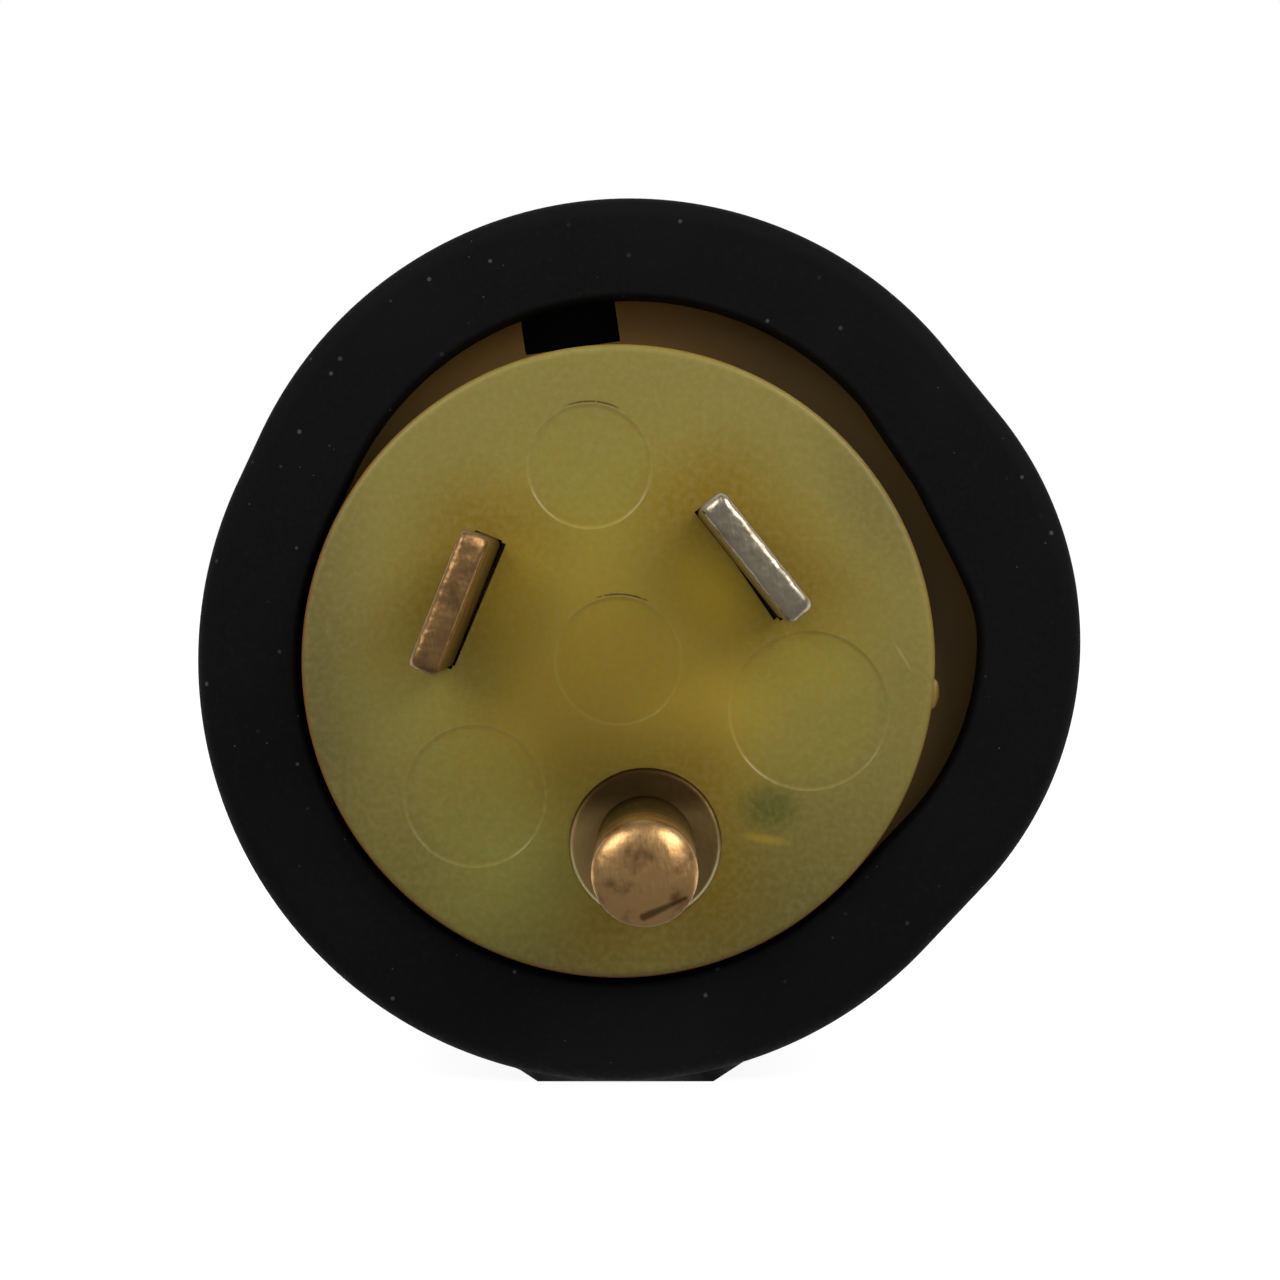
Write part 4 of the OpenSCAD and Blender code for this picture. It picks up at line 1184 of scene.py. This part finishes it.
class PLUG_OT_make_insert(bpy.types.Operator):
    """Make the nylon contact insert with its slots, keyway and moulded recesses"""
    bl_idname = "plug.make_insert"
    bl_label = "Contact Insert"

    segments = 256
    recess_segments = 160
    pin_segments = 128
    hole_segments = 32
    face_fit = 0.025 * MM         # gap round the contacts at the face
    key_step = 0.2 * MM
    screw_hole = 1.46 * MM
    screw_depth = 5.5 * MM
    # Ends of the open gap along a blade, in widths of the blade from its middle, and its share there
    relief_ends = {"hot": ((-0.49, 1.0), (0.47, 0.45)), "neutral": ((-0.47, 1.0), (0.06, 0.02))}
    relief_depth = 2 * MM
    sharp = math.radians(20)
    gate_turn = math.radians(-6)
    gate_radius = 0.42 * MM
    gate_sunk = 0.08 * MM
    gate_shape = (1.0, 2.1, 0.7, 1)

    def body(self, face):
        low = rear("insert")
        high = flange_front(face)
        radius = reach("insert")
        outline = soft_corners([
            (0, low), (radius, low, 0.3 * MM), (radius, high, 0.3 * MM), (face.radius, high, 0.25 * MM),
            (face.radius, 0, face.edge), (0, 0)], steps=6)
        return lathe(outline, self.segments)

    def recess(self, face, radius):
        """What a round recess takes out of the face."""
        wall = face.recess_wall
        floor = soft_corners([
            (0, -face.recess), (radius - wall, -face.recess, wall * 0.6), (radius, 0),
            (radius, THROUGH), (0, THROUGH)], steps=6)
        return lathe(floor, self.recess_segments)

    def relief(self, which, contacts, face):
        """The tapering open gap along the inner side of a blade."""
        near = tail_span(contacts)[0]
        ends = [(place * contacts.blade_width, part) for place, part in self.relief_ends[which]]
        outline = [(near - part * face.slot_relief, across) for across, part in ends]
        outline += [(near, across) for across, _ in reversed(ends)]
        return prism(outline, -self.relief_depth, THROUGH)

    def gate(self, face):
        """The small stub that is left where the nylon ran into its mould."""
        stub = bmesh.new()
        bmesh.ops.create_uvsphere(stub, u_segments=24, v_segments=12, radius=self.gate_radius)
        stub.transform(Matrix.Diagonal(self.gate_shape))
        return moved(stub, self.gate_turn, face.radius - self.gate_sunk, -face.edge)

    def ground_way(self, low, shoulder, contacts):
        """Bores for the ground pin's collar and its shoulder."""
        collar = contacts.collar_radius
        for radius, top in ((collar + self.face_fit, THROUGH), (collar + COLLAR_SHOULDER + FIT, shoulder)):
            yield rod(radius, low - THROUGH, top, self.pin_segments), contacts.pin_pitch

    def blade_way(self, which, low, shoulder, face, contacts):
        """Slot for a blade, pocket for its shoulder, and the open gap beside it."""
        near, far = tail_span(contacts)
        yield block(near - self.face_fit, far + self.face_fit, contacts.blade_width + 2 * self.face_fit,
                    low - THROUGH, THROUGH), 0.0
        yield block(near - FIT, far + FIT, contacts.blade_width + 2 * (EAR + FIT),
                    low - THROUGH, shoulder), 0.0
        yield self.relief(which, contacts, face), 0.0

    def execute(self, context):
        face = context.scene.plug_face
        contacts = context.scene.plug_contacts
        low = rear("insert")
        shoulder = low + SHOULDER_DEPTH
        insert = piece_from(self.body(face), "contact_insert")
        for which, turn in contact_turns(face).items():
            if which == "ground":
                way = self.ground_way(low, shoulder, contacts)
            else:
                way = self.blade_way(which, low, shoulder, face, contacts)
            for tool, out in way:
                carve(insert, moved(tool, turn, out))
            hole = rod(self.screw_hole, low - THROUGH, low + self.screw_depth, self.hole_segments)
            carve(insert, moved(hole, turn + SCREW_STEP, SCREW_RING))
        keyway = block(face.radius + self.key_step, reach("insert") + THROUGH, face.key_width,
                       low - THROUGH, flange_front(face) + THROUGH)
        carve(insert, moved(keyway, key_turn(face)))
        for out, turn, radius in recesses(face):
            carve(insert, moved(self.recess(face, radius), turn, out))
        carve(insert, self.gate(face), "UNION")
        finish = finish_named("face_nylon", context.scene)
        settle(insert, finish, BODY, "nylon_amber", "insert", sharp=self.sharp)
        return {"FINISHED"}


class PLUG_OT_make_contacts(bpy.types.Operator):
    """Make the two flat blades and the stepped ground pin with their tails and tapped bosses"""
    bl_idname = "plug.make_contacts"
    bl_label = "Blades and Ground Pin"

    pin_segments = 128
    tip_spread = 2.0              # how many times wider than high the pin's end rounding is
    boss_wall = 1.2 * MM
    boss_root = 0.5 * MM
    tail_root = 0.8 * MM
    thread_fit = 0.06 * MM

    def boss(self, contacts, turn):
        near = tail_span(contacts)[0]
        start = near - BOSS_HEIGHT
        root = near + self.boss_root
        radius = contacts.screw_radius + self.boss_wall
        outline = soft_corners([
            (0, start), (radius, start, 0.3 * MM), (radius, root), (0, root)])
        return laid_outwards(lathe(outline, 64), turn, screw_height())

    def tapped_hole(self, contacts, turn):
        near, far = tail_span(contacts)
        hole = rod(contacts.screw_radius + self.thread_fit, near - BOSS_HEIGHT - THROUGH, far + THROUGH, 64)
        return laid_outwards(hole, turn, screw_height())

    def blade(self, contacts):
        low = rear("insert")
        shoulder = low + SHOULDER_DEPTH
        half = contacts.blade_width / 2
        side = [(half, rear("hot_blade"), 0.6 * MM), (half, low), (half + EAR, low), (half + EAR, shoulder),
                (half, shoulder), (half, front("hot_blade"), contacts.blade_corner)]
        mirrored = [(-point[0],) + point[1:] for point in reversed(side)]
        outline = soft_corners(side + mirrored, closed=True, steps=6)
        return plate(outline, *tail_span(contacts), contacts.blade_edge)

    def pin(self, contacts):
        low = rear("insert")
        tip = front("ground_pin")
        radius = contacts.pin_radius
        collar = contacts.collar_radius
        shoulder = collar + COLLAR_SHOULDER
        outline = soft_corners([
            (0, low), (shoulder, low, 0.1 * MM), (shoulder, low + SHOULDER_DEPTH, 0.1 * MM),
            (collar, low + SHOULDER_DEPTH), (collar, contacts.collar_proud, contacts.collar_edge),
            (radius, contacts.collar_proud, 0.12 * MM)])
        crown = arc(radius - contacts.pin_round, tip - contacts.pin_round, contacts.pin_round, 0, 90, 14)
        crown = [(radius - (radius - r) * self.tip_spread, height) for r, height in crown]
        return lathe(outline + crown + [(0, tip)], self.pin_segments)

    def execute(self, context):
        contacts = context.scene.plug_contacts
        for which, turn in contact_turns(context.scene.plug_face).items():
            slot = contact_slot(which)
            if which == "ground":
                node = "ground_pin"
                contact = piece_from(moved(self.pin(contacts), turn, contacts.pin_pitch), "contact_" + node)
                tail = block(*tail_span(contacts), contacts.blade_width, rear("ground_pin"),
                             rear("insert") + self.tail_root, 0.2 * MM)
                carve(contact, moved(tail, turn), "UNION")
            else:
                node = which + "_blade"
                contact = piece_from(moved(self.blade(contacts), turn), "contact_" + node)
            carve(contact, self.boss(contacts, turn), "UNION")
            carve(contact, self.tapped_hole(contacts, turn))
            settle(contact, finish_named(slot, context.scene), BODY, slot, node)
        return {"FINISHED"}


class PLUG_OT_make_terminals(bpy.types.Operator):
    """Make the clamp plates and the slotted terminal screws"""
    bl_idname = "plug.make_terminals"
    bl_label = "Terminals"

    thread_depth = 0.42 * MM
    slot_width = 1 * MM
    slot_depth = 1.1 * MM
    tooth = 0.36 * MM
    tooth_edge = 1.3 * MM
    screw_slots = {"hot": "brass", "neutral": "plated_brass", "ground": "green_screw"}

    def clamp(self, contacts, turn):
        near = tail_span(contacts)[1] + contacts.wire_gap
        far = near + contacts.clamp_thick
        height = screw_height()
        half = contacts.clamp_side / 2
        low = height - half
        high = height + half
        square = block(near, far, contacts.clamp_side, low, high, 0.22 * MM)
        clamp = piece_from(moved(square, turn), "terminal_clamp")
        hole = rod(contacts.screw_radius + SCREW_CLEARANCE, near - THROUGH, far + THROUGH)
        carve(clamp, laid_outwards(hole, turn, height))
        for side in (-1, 1):
            groove = block(-self.tooth, self.tooth, 2 * self.tooth, low - THROUGH, high + THROUGH)
            groove.transform(Matrix.Rotation(RIGHT_ANGLE / 2, 4, "Z"))
            groove.transform(Matrix.Translation((near, side * (half - self.tooth_edge), 0)))
            carve(clamp, moved(groove, turn))
        return clamp

    def screw(self, contacts, turn, rule, finish):
        near, far = tail_span(contacts)
        end = near - BOSS_HEIGHT
        under_head = far + contacts.wire_gap + contacts.clamp_thick
        top = under_head + contacts.head_height
        radius = contacts.screw_radius
        head = contacts.head_radius
        outline = soft_corners([
            (0, end), (radius - 0.45 * MM, end), (radius, end + 0.45 * MM, 0.1 * MM),
            (radius, end + 0.6 * MM)])
        outline += thread_points(radius, end + 0.7 * MM, under_head - 0.5 * MM, contacts.screw_lead, 12)
        outline += soft_corners([
            (radius, under_head - 0.3 * MM), (radius, under_head, 0.15 * MM), (head, under_head, 0.2 * MM),
            (head, top, 0.8 * MM), (0, top)])
        screw = turned("terminal_screw", outline, 64)
        rule.apply(screw, finish, lead=contacts.screw_lead, depth=self.thread_depth)
        carve(screw, block(-head - THROUGH, head + THROUGH, self.slot_width,
                           top - self.slot_depth, top + THROUGH))
        laid_outwards(screw.data, turn, screw_height())
        return screw

    def execute(self, context):
        contacts = context.scene.plug_contacts
        rule = thread_rule()
        for which, turn in contact_turns(context.scene.plug_face).items():
            slot = contact_slot(which)
            clamp = self.clamp(contacts, turn)
            clamp.name = which + "_clamp_detail"
            settle(clamp, finish_named(slot, context.scene), which + "_clamp_plate", slot, which + "_clamp")
            slot = self.screw_slots[which]
            finish = finish_named(slot, context.scene)
            screw = self.screw(contacts, turn, rule, finish)
            screw.name = which + "_screw_detail"
            settle(screw, finish, which + "_terminal_screw", slot, which + "_screw")
        return {"FINISHED"}


class PLUG_OT_make_retainer(bpy.types.Operator):
    """Make the plate and barriers that trap the contacts, and its three screws"""
    bl_idname = "plug.make_retainer"
    bl_label = "Contact Retainer"

    plate_segments = 192
    screw_segments = 40
    hole_segments = 48
    thickness = 3 * MM
    hub = 2 * MM
    hub_past = 0.5 * MM
    barrier_reach = 11.6 * MM
    barrier_thick = 2.4 * MM
    screw_radius = 1.4 * MM
    screw_bite = 1 * MM
    head_radius = 2.6 * MM
    head_height = 1.8 * MM
    thread_lead = 0.8 * MM
    thread_depth = 0.3 * MM
    point_share = 0.35            # blunt end of a screw, as a share of its radius
    cross_width = 0.7 * MM
    cross_depth = 1 * MM

    def retainer(self, face, contacts):
        low = rear("insert")
        bottom = low - self.thickness
        _, end, radius = span("contact_retainer")
        near, far = tail_span(contacts)
        outline = soft_corners([
            (0, end), (self.hub, end, 0.3 * MM), (self.hub, bottom, 0.3 * MM), (radius, bottom, 0.4 * MM),
            (radius, low, 0.25 * MM), (0, low)])
        retainer = turned("retainer_plate", outline, self.plate_segments)
        for turn in contact_turns(face).values():
            barrier = block(self.hub - self.hub_past, self.barrier_reach, self.barrier_thick,
                            end + self.hub_past, bottom + self.hub_past, 0.25 * MM)
            carve(retainer, moved(barrier, turn + SCREW_STEP), "UNION")
            tail = block(near - FIT, far + FIT, contacts.blade_width + 2 * FIT,
                         bottom - THROUGH, low + THROUGH)
            carve(retainer, moved(tail, turn))
            hole = rod(self.screw_radius + SCREW_CLEARANCE, bottom - THROUGH, low + THROUGH,
                       self.hole_segments)
            carve(retainer, moved(hole, turn + SCREW_STEP, SCREW_RING))
        return retainer

    def screw(self, face, finish):
        bottom = rear("insert") - self.thickness
        head = bottom - self.head_height
        end = flange_front(face) + self.screw_bite
        radius = self.screw_radius
        outline = soft_corners([
            (0, head), (self.head_radius, head, 0.7 * MM), (self.head_radius, bottom, 0.15 * MM),
            (radius, bottom, 0.1 * MM), (radius, bottom + 0.4 * MM)])
        outline += thread_points(radius, bottom + 0.5 * MM, end - 0.7 * MM, self.thread_lead, 10)
        outline += [(radius, end - 0.6 * MM), (radius * self.point_share, end), (0, end)]
        screw = turned("retainer_screw_set", outline, self.screw_segments)
        thread_rule().apply(screw, finish, lead=self.thread_lead, depth=self.thread_depth)
        half = self.head_radius / 2
        for turn in (0, RIGHT_ANGLE):
            cross = block(-half, half, self.cross_width, head - THROUGH, head + self.cross_depth)
            carve(screw, moved(cross, turn))
        return screw

    def execute(self, context):
        face = context.scene.plug_face
        retainer = self.retainer(face, context.scene.plug_contacts)
        settle(retainer, finish_named("white_nylon", context.scene), BODY, "nylon_white", "contact_retainer")
        finish = finish_named("zinc_steel", context.scene)
        screws = self.screw(face, finish)
        first = contact_turns(face)["hot"] + SCREW_STEP
        ring_rule().apply(screws, finish, copies=3.0, ring_radius=SCREW_RING, first_turn=first)
        settle(screws, finish, BODY, "zinc_steel", "retainer_screws")
        return {"FINISHED"}


class PLUG_OT_make_gland(bpy.types.Operator):
    """Make the threaded sleeve, its sealing ring and locknut, the cord seal and the split collet"""
    bl_idname = "plug.make_gland"
    bl_label = "Cord Gland"

    segments = 144
    ring_section = 0.8 * MM
    ring_slack = 0.05 * MM
    flange_thick = 2.5 * MM
    seat_floor = 1 * MM
    locknut_hole = 12.36 * MM
    locknut_edge = 0.35 * MM
    slot_width = 1.2 * MM
    slot_web = 1.1 * MM
    collet_bore = 9 * MM
    collet_nose = 1 * MM

    def sleeve(self, gland, finish):
        top, end, flange = span("gland_sleeve")
        seat = rear("shell")
        nut_end = rear("sleeve_locknut")
        tube = gland.sleeve_radius
        thread = gland.thread_radius
        ring = (tube + self.ring_slack + flange) / 2
        half = self.ring_section + self.ring_slack
        groove = seat - 2 * self.ring_section - self.ring_slack
        flange_end = seat - self.flange_thick
        floor = seat - self.seat_floor
        outline = soft_corners([
            (gland.sleeve_bore, top, 0.3 * MM), (tube, top, 0.4 * MM), (tube, top - 0.6 * MM)])
        outline += thread_points(tube, top - 0.7 * MM, nut_end - 1 * MM, gland.thread_lead)
        outline += soft_corners([
            (tube, nut_end - 1.2 * MM), (tube, seat, 0.1 * MM),
            (ring - half, seat, 0.1 * MM), (ring - half, groove, 0.2 * MM), (ring + half, groove, 0.2 * MM),
            (ring + half, seat, 0.1 * MM), (flange, seat, 0.3 * MM), (flange, flange_end, 0.4 * MM),
            (thread, flange_end, 0.2 * MM), (thread, flange_end - 0.3 * MM)])
        outline += thread_points(thread, flange_end - 0.4 * MM, end + 0.6 * MM, gland.thread_lead)
        outline += soft_corners([
            (thread, end + 0.5 * MM), (thread - 0.4 * MM, end, 0.15 * MM), (gland.seat_radius, end, 0.3 * MM),
            (gland.seat_radius, floor, 0.1 * MM), (gland.sleeve_bore, floor, 0.3 * MM),
            (gland.sleeve_bore, floor + 1 * MM)])
        sleeve = turned("gland_sleeve_detail", outline, self.segments)
        thread_rule().apply(sleeve, finish, lead=gland.thread_lead, depth=gland.thread_depth)
        return sleeve

    def seal(self, gland):
        top, end, radius = span("cord_seal")
        outline = soft_corners([
            (gland.seal_bore, top, 0.8 * MM), (radius, top, 0.5 * MM), (radius, end, 0.5 * MM),
            (gland.seal_bore, end, 0.8 * MM)], closed=True)
        return turned("cord_seal_detail", outline, self.segments)

    def collet(self, gland):
        top, end, radius = span("cord_collet")
        outline = soft_corners([
            (self.collet_bore, top, 0.3 * MM), (radius, top, 0.3 * MM),
            (radius, rear("gland_sleeve"), 0.2 * MM), (radius - self.collet_nose, end, 0.3 * MM),
            (self.collet_bore, end, 0.4 * MM)], closed=True)
        collet = turned("cord_collet_detail", outline, self.segments)
        for i in range(gland.collet_slots // 2):
            slot = block(-radius - THROUGH, radius + THROUGH, self.slot_width,
                         end - THROUGH, top - self.slot_web)
            carve(collet, moved(slot, TURN * i / gland.collet_slots))
        return collet

    def locknut(self):
        top, end, radius = span("sleeve_locknut")
        hexagon = bmesh.new()
        bmesh.ops.create_cone(
            hexagon, cap_ends=True, segments=6, radius1=radius, radius2=radius, depth=top - end)
        hexagon.transform(Matrix.Translation((0, 0, (top + end) / 2)) @ Matrix.Rotation(TURN / 12, 4, "Z"))
        bmesh.ops.bevel(hexagon, geom=hexagon.edges[:], offset=self.locknut_edge, segments=2, profile=0.5,
                        affect="EDGES")
        locknut = piece_from(hexagon, "sleeve_locknut_detail")
        carve(locknut, rod(self.locknut_hole, end - THROUGH, top + THROUGH, self.segments))
        return locknut

    def sealing_ring(self):
        top, end, radius = span("sleeve_o_ring")
        section = arc(radius - self.ring_section, (top + end) / 2, self.ring_section, 0, 345, 23)
        return turned("sealing_ring_detail", section, self.segments)

    def execute(self, context):
        gland = context.scene.plug_gland
        black, rubber, white = [
            finish_named(name, context.scene) for name in ("black_nylon", "seal_rubber", "white_nylon")]
        settle(self.sleeve(gland, black), black, BODY, "nylon_black", "gland_sleeve")
        settle(self.locknut(), black, BODY, "nylon_black", "sleeve_locknut")
        settle(self.sealing_ring(), rubber, BODY, "seal_rubber", "sleeve_o_ring")
        settle(self.seal(gland), rubber, BODY, "seal_rubber", "cord_seal")
        settle(self.collet(gland), white, BODY, "nylon_white", "cord_collet")
        return {"FINISHED"}


class PLUG_OT_make_nut(bpy.types.Operator):
    """Make the fluted gland nut and the slip washer in front of its end wall"""
    bl_idname = "plug.make_nut"
    bl_label = "Gland Nut"

    nut_segments = 288
    washer_segments = 160
    end_wall = 2.6 * MM
    exit_edge = 0.3 * MM
    rear_round = 1.2 * MM
    round_steps = 8
    front_chamfer = 0.6 * MM
    flute_margin = 3 * MM
    flute_run = 2 * MM
    wall_steps = 24

    def nut(self, gland, finish):
        top, end, radius = span("gland_nut")
        inner = end + self.end_wall
        wall_low = end + self.rear_round
        wall_high = top - self.flute_margin
        outline = [(gland.exit_radius, end + self.exit_edge), (gland.exit_radius + self.exit_edge, end)]
        rounding = arc(radius - self.rear_round, wall_low, self.rear_round, -90, 0, self.round_steps)
        outline += [(out, height, 0, 1.0) for out, height in rounding]
        for i in range(1, self.wall_steps + 1):
            height = wall_low + (wall_high - end - self.rear_round) * i / self.wall_steps
            run = min(1.0, max(0.0, (wall_high - height) / self.flute_run))
            outline.append((radius, height, 0, math.sqrt(1 - (1 - run) ** 2)))
        outline += soft_corners([
            (radius, wall_high + 0.2 * MM), (radius, top - self.front_chamfer, 0.15 * MM),
            (radius - self.front_chamfer, top, 0.15 * MM), (gland.nut_bore, top, 0.3 * MM),
            (gland.nut_bore, top - 0.5 * MM)])
        outline += thread_points(gland.nut_bore, top - 0.6 * MM, inner + 0.6 * MM, gland.thread_lead, 10)
        outline += [(gland.nut_bore, inner), (gland.exit_radius, inner)]
        nut = turned("gland_nut_detail", outline, self.nut_segments)
        flute_rule().apply(nut, finish, flutes=float(gland.flutes), nut_radius=radius,
                           flute_radius=gland.flute_radius, flute_depth=gland.flute_depth)
        thread_rule().apply(nut, finish, lead=gland.thread_lead, depth=-gland.thread_depth)
        return nut

    def washer(self, gland):
        top, end, radius = span("slip_washer")
        outline = soft_corners([
            (gland.exit_radius, top, 0.15 * MM), (radius, top, 0.25 * MM), (radius, end, 0.1 * MM),
            (gland.exit_radius, end, 0.1 * MM)], closed=True)
        return turned("slip_washer_detail", outline, self.washer_segments)

    def execute(self, context):
        gland = context.scene.plug_gland
        black = finish_named("black_nylon", context.scene)
        zinc = finish_named("zinc_steel", context.scene)
        settle(self.nut(gland, black), black, "nut", "nylon_black", "gland_nut")
        settle(self.washer(gland), zinc, "washer", "zinc_steel", "slip_washer")
        return {"FINISHED"}


class PLUG_OT_make_studio(bpy.types.Operator):
    """Set the camera, the pale floor and the soft light"""
    bl_idname = "plug.make_studio"
    bl_label = "Studio"

    sensor_width = 36
    clip_start = 0.01
    floor_size = 4.0
    floor_glow = 0.92
    floor_shade = 0.3
    lamp_size = 0.16
    lamp_away = 0.26
    lamp_off_axis = math.radians(58)
    tent_radius = 1.2
    tent_opening = 118            # degrees from the middle of the tent to its rim
    tent_gap = 1 * MM
    tent_lift = 0.5 * MM
    white = (1, 1, 1, 1)

    def seen(self, bench):
        """1 for what the camera, a reflection or clear glass sees, and 0 for light on the object."""
        path = bench.add("ShaderNodeLightPath").outputs
        return bench.most(path["Is Camera Ray"], path["Is Glossy Ray"], path["Is Transmission Ray"])

    def bench_of(self, owner):
        """An empty node tree of a material or a world."""
        owner.use_nodes = True
        owner.node_tree.nodes.clear()
        return NodeBench(owner.node_tree)

    def sheet(self, mesh, name, material):
        """A piece of the stage."""
        sheet = piece_from(mesh, name)
        sheet.data.materials.append(material)
        return sheet

    def sweep(self, half, profile):
        """A flat sheet that is drawn from the side, and runs half to the left and half to the right."""
        mesh = bmesh.new()
        left, right = [[mesh.verts.new((x, y, z)) for y, z in profile] for x in (-half, half)]
        for i in range(len(profile) - 1):
            mesh.faces.new((left[i], right[i], right[i + 1], left[i + 1]))
        return mesh

    def floor(self):
        material = bpy.data.materials.new("pale_floor")
        bench = self.bench_of(material)
        shade = bench.add("ShaderNodeBsdfDiffuse", {"Color": (self.floor_shade,) * 3 + (1,)})
        glow = bench.add("ShaderNodeEmission", {"Strength": self.seen(bench) * self.floor_glow})
        both = bench.add("ShaderNodeAddShader", {0: shade.outputs[0], 1: glow.outputs[0]})
        bench.add("ShaderNodeOutputMaterial", {"Surface": both.outputs[0]})
        ends = [(-self.floor_size, 0), (self.floor_size, 0)]
        self.sheet(self.sweep(self.floor_size, ends), "studio_floor", material)

    def grey_tent(self, brightness):
        """A grey tent in front that only reflections see, so that metal and rubber show a dark side."""
        material = bpy.data.materials.new("grey_tent")
        bench = self.bench_of(material)
        glow = bench.add("ShaderNodeEmission", {"Strength": brightness})
        bench.add("ShaderNodeOutputMaterial", {"Surface": glow.outputs[0]})
        dome = lathe(arc(0, 0, self.tent_radius, 90, 90 - self.tent_opening, 24), 48)
        dome.transform(LAID_DOWN)
        ends = [(FACE_Y - self.tent_gap, self.tent_lift), (-self.tent_radius, self.tent_lift)]
        ground = self.sweep(self.tent_radius, ends)
        for mesh, name in ((dome, "grey_tent_dome"), (ground, "grey_tent_ground")):
            sheet = self.sheet(mesh, name, material)
            sheet.visible_camera = False
            sheet.visible_diffuse = False
            sheet.visible_shadow = False
            sheet.visible_transmission = False

    def world(self, ambient):
        world = bpy.data.worlds.new("studio_world")
        bench = self.bench_of(world)
        light = bench.add("ShaderNodeBackground", {"Color": self.white, "Strength": ambient})
        white = bench.add("ShaderNodeBackground", {"Color": self.white, "Strength": 1.0})
        mixed = bench.add("ShaderNodeMixShader", {
            0: self.seen(bench), 1: light.outputs[0], 2: white.outputs[0]})
        bench.add("ShaderNodeOutputWorld", {"Surface": mixed.outputs[0]})
        bpy.context.scene.world = world

    def lamp(self, name, side, power):
        data = bpy.data.lights.new(name, "AREA")
        data.shape = "SQUARE"
        data.size = self.lamp_size
        data.energy = power
        aside = math.sin(self.lamp_off_axis) * math.sqrt(0.5)
        way = Vector((side * aside, -math.cos(self.lamp_off_axis), aside))
        lamp = bpy.data.objects.new(name, data)
        lamp.location = FACE_CENTRE + way * self.lamp_away
        lamp.rotation_euler = (-way).to_track_quat("-Z", "Y").to_euler()
        bpy.context.scene.collection.objects.link(lamp)

    def camera(self, studio):
        data = bpy.data.cameras.new("photo_camera")
        data.lens = studio.lens
        data.sensor_width = self.sensor_width
        data.shift_x = studio.shift_x
        data.shift_y = studio.shift_y
        data.clip_start = self.clip_start
        camera = bpy.data.objects.new("photo_camera", data)
        camera.location = FACE_CENTRE + Vector((studio.camera_right, -studio.camera_away, studio.camera_up))
        camera.rotation_euler = (RIGHT_ANGLE, 0, 0)
        bpy.context.scene.collection.objects.link(camera)
        bpy.context.scene.camera = camera

    def execute(self, context):
        studio = context.scene.plug_studio
        context.scene.view_settings.view_transform = "Standard"
        self.camera(studio)
        self.floor()
        self.grey_tent(studio.tent)
        self.world(studio.ambient)
        self.lamp("left_soft_box", -1, studio.lamp_power * (1 - studio.lamp_balance))
        self.lamp("right_soft_box", 1, studio.lamp_power * studio.lamp_balance)
        return {"FINISHED"}


class PLUG_PT_builder(bpy.types.Panel):
    """Lists the steps that build the plug"""
    bl_idname = "PLUG_PT_builder"
    bl_label = "Shore Power Plug"
    bl_space_type = "VIEW_3D"
    bl_region_type = "UI"
    bl_category = "Shore Plug"

    def draw(self, context):
        for step in STEPS:
            self.layout.operator(step.bl_idname)
        for group in SETTINGS:
            settings = getattr(context.scene, group)
            for name in settings.bl_rna.properties.keys():
                if name not in ("rna_type", "name"):
                    self.layout.prop(settings, name)


SETTINGS = {
    "plug_shell": ShellSizes, "plug_face": FaceSizes, "plug_contacts": ContactSizes,
    "plug_gland": GlandSizes, "plug_finishes": PlugFinishes, "plug_studio": StudioSettings}
STEPS = (
    PLUG_OT_make_studio, PLUG_OT_make_shell, PLUG_OT_make_insert, PLUG_OT_make_contacts,
    PLUG_OT_make_terminals, PLUG_OT_make_retainer, PLUG_OT_make_gland, PLUG_OT_make_nut)


def register():
    for group, settings in SETTINGS.items():
        bpy.utils.register_class(settings)
        setattr(bpy.types.Scene, group, bpy.props.PointerProperty(type=settings))
    for step in STEPS + (PLUG_PT_builder,):
        bpy.utils.register_class(step)


def unregister():
    for step in reversed(STEPS + (PLUG_PT_builder,)):
        bpy.utils.unregister_class(step)
    for group, settings in SETTINGS.items():
        delattr(bpy.types.Scene, group)
        bpy.utils.unregister_class(settings)


def main():
    register()
    bpy.ops.plug.make_studio()
    bpy.ops.plug.make_shell()
    bpy.ops.plug.make_insert()
    bpy.ops.plug.make_contacts()
    bpy.ops.plug.make_terminals()
    bpy.ops.plug.make_retainer()
    bpy.ops.plug.make_gland()
    bpy.ops.plug.make_nut()


if __name__ == "__main__":
    main()
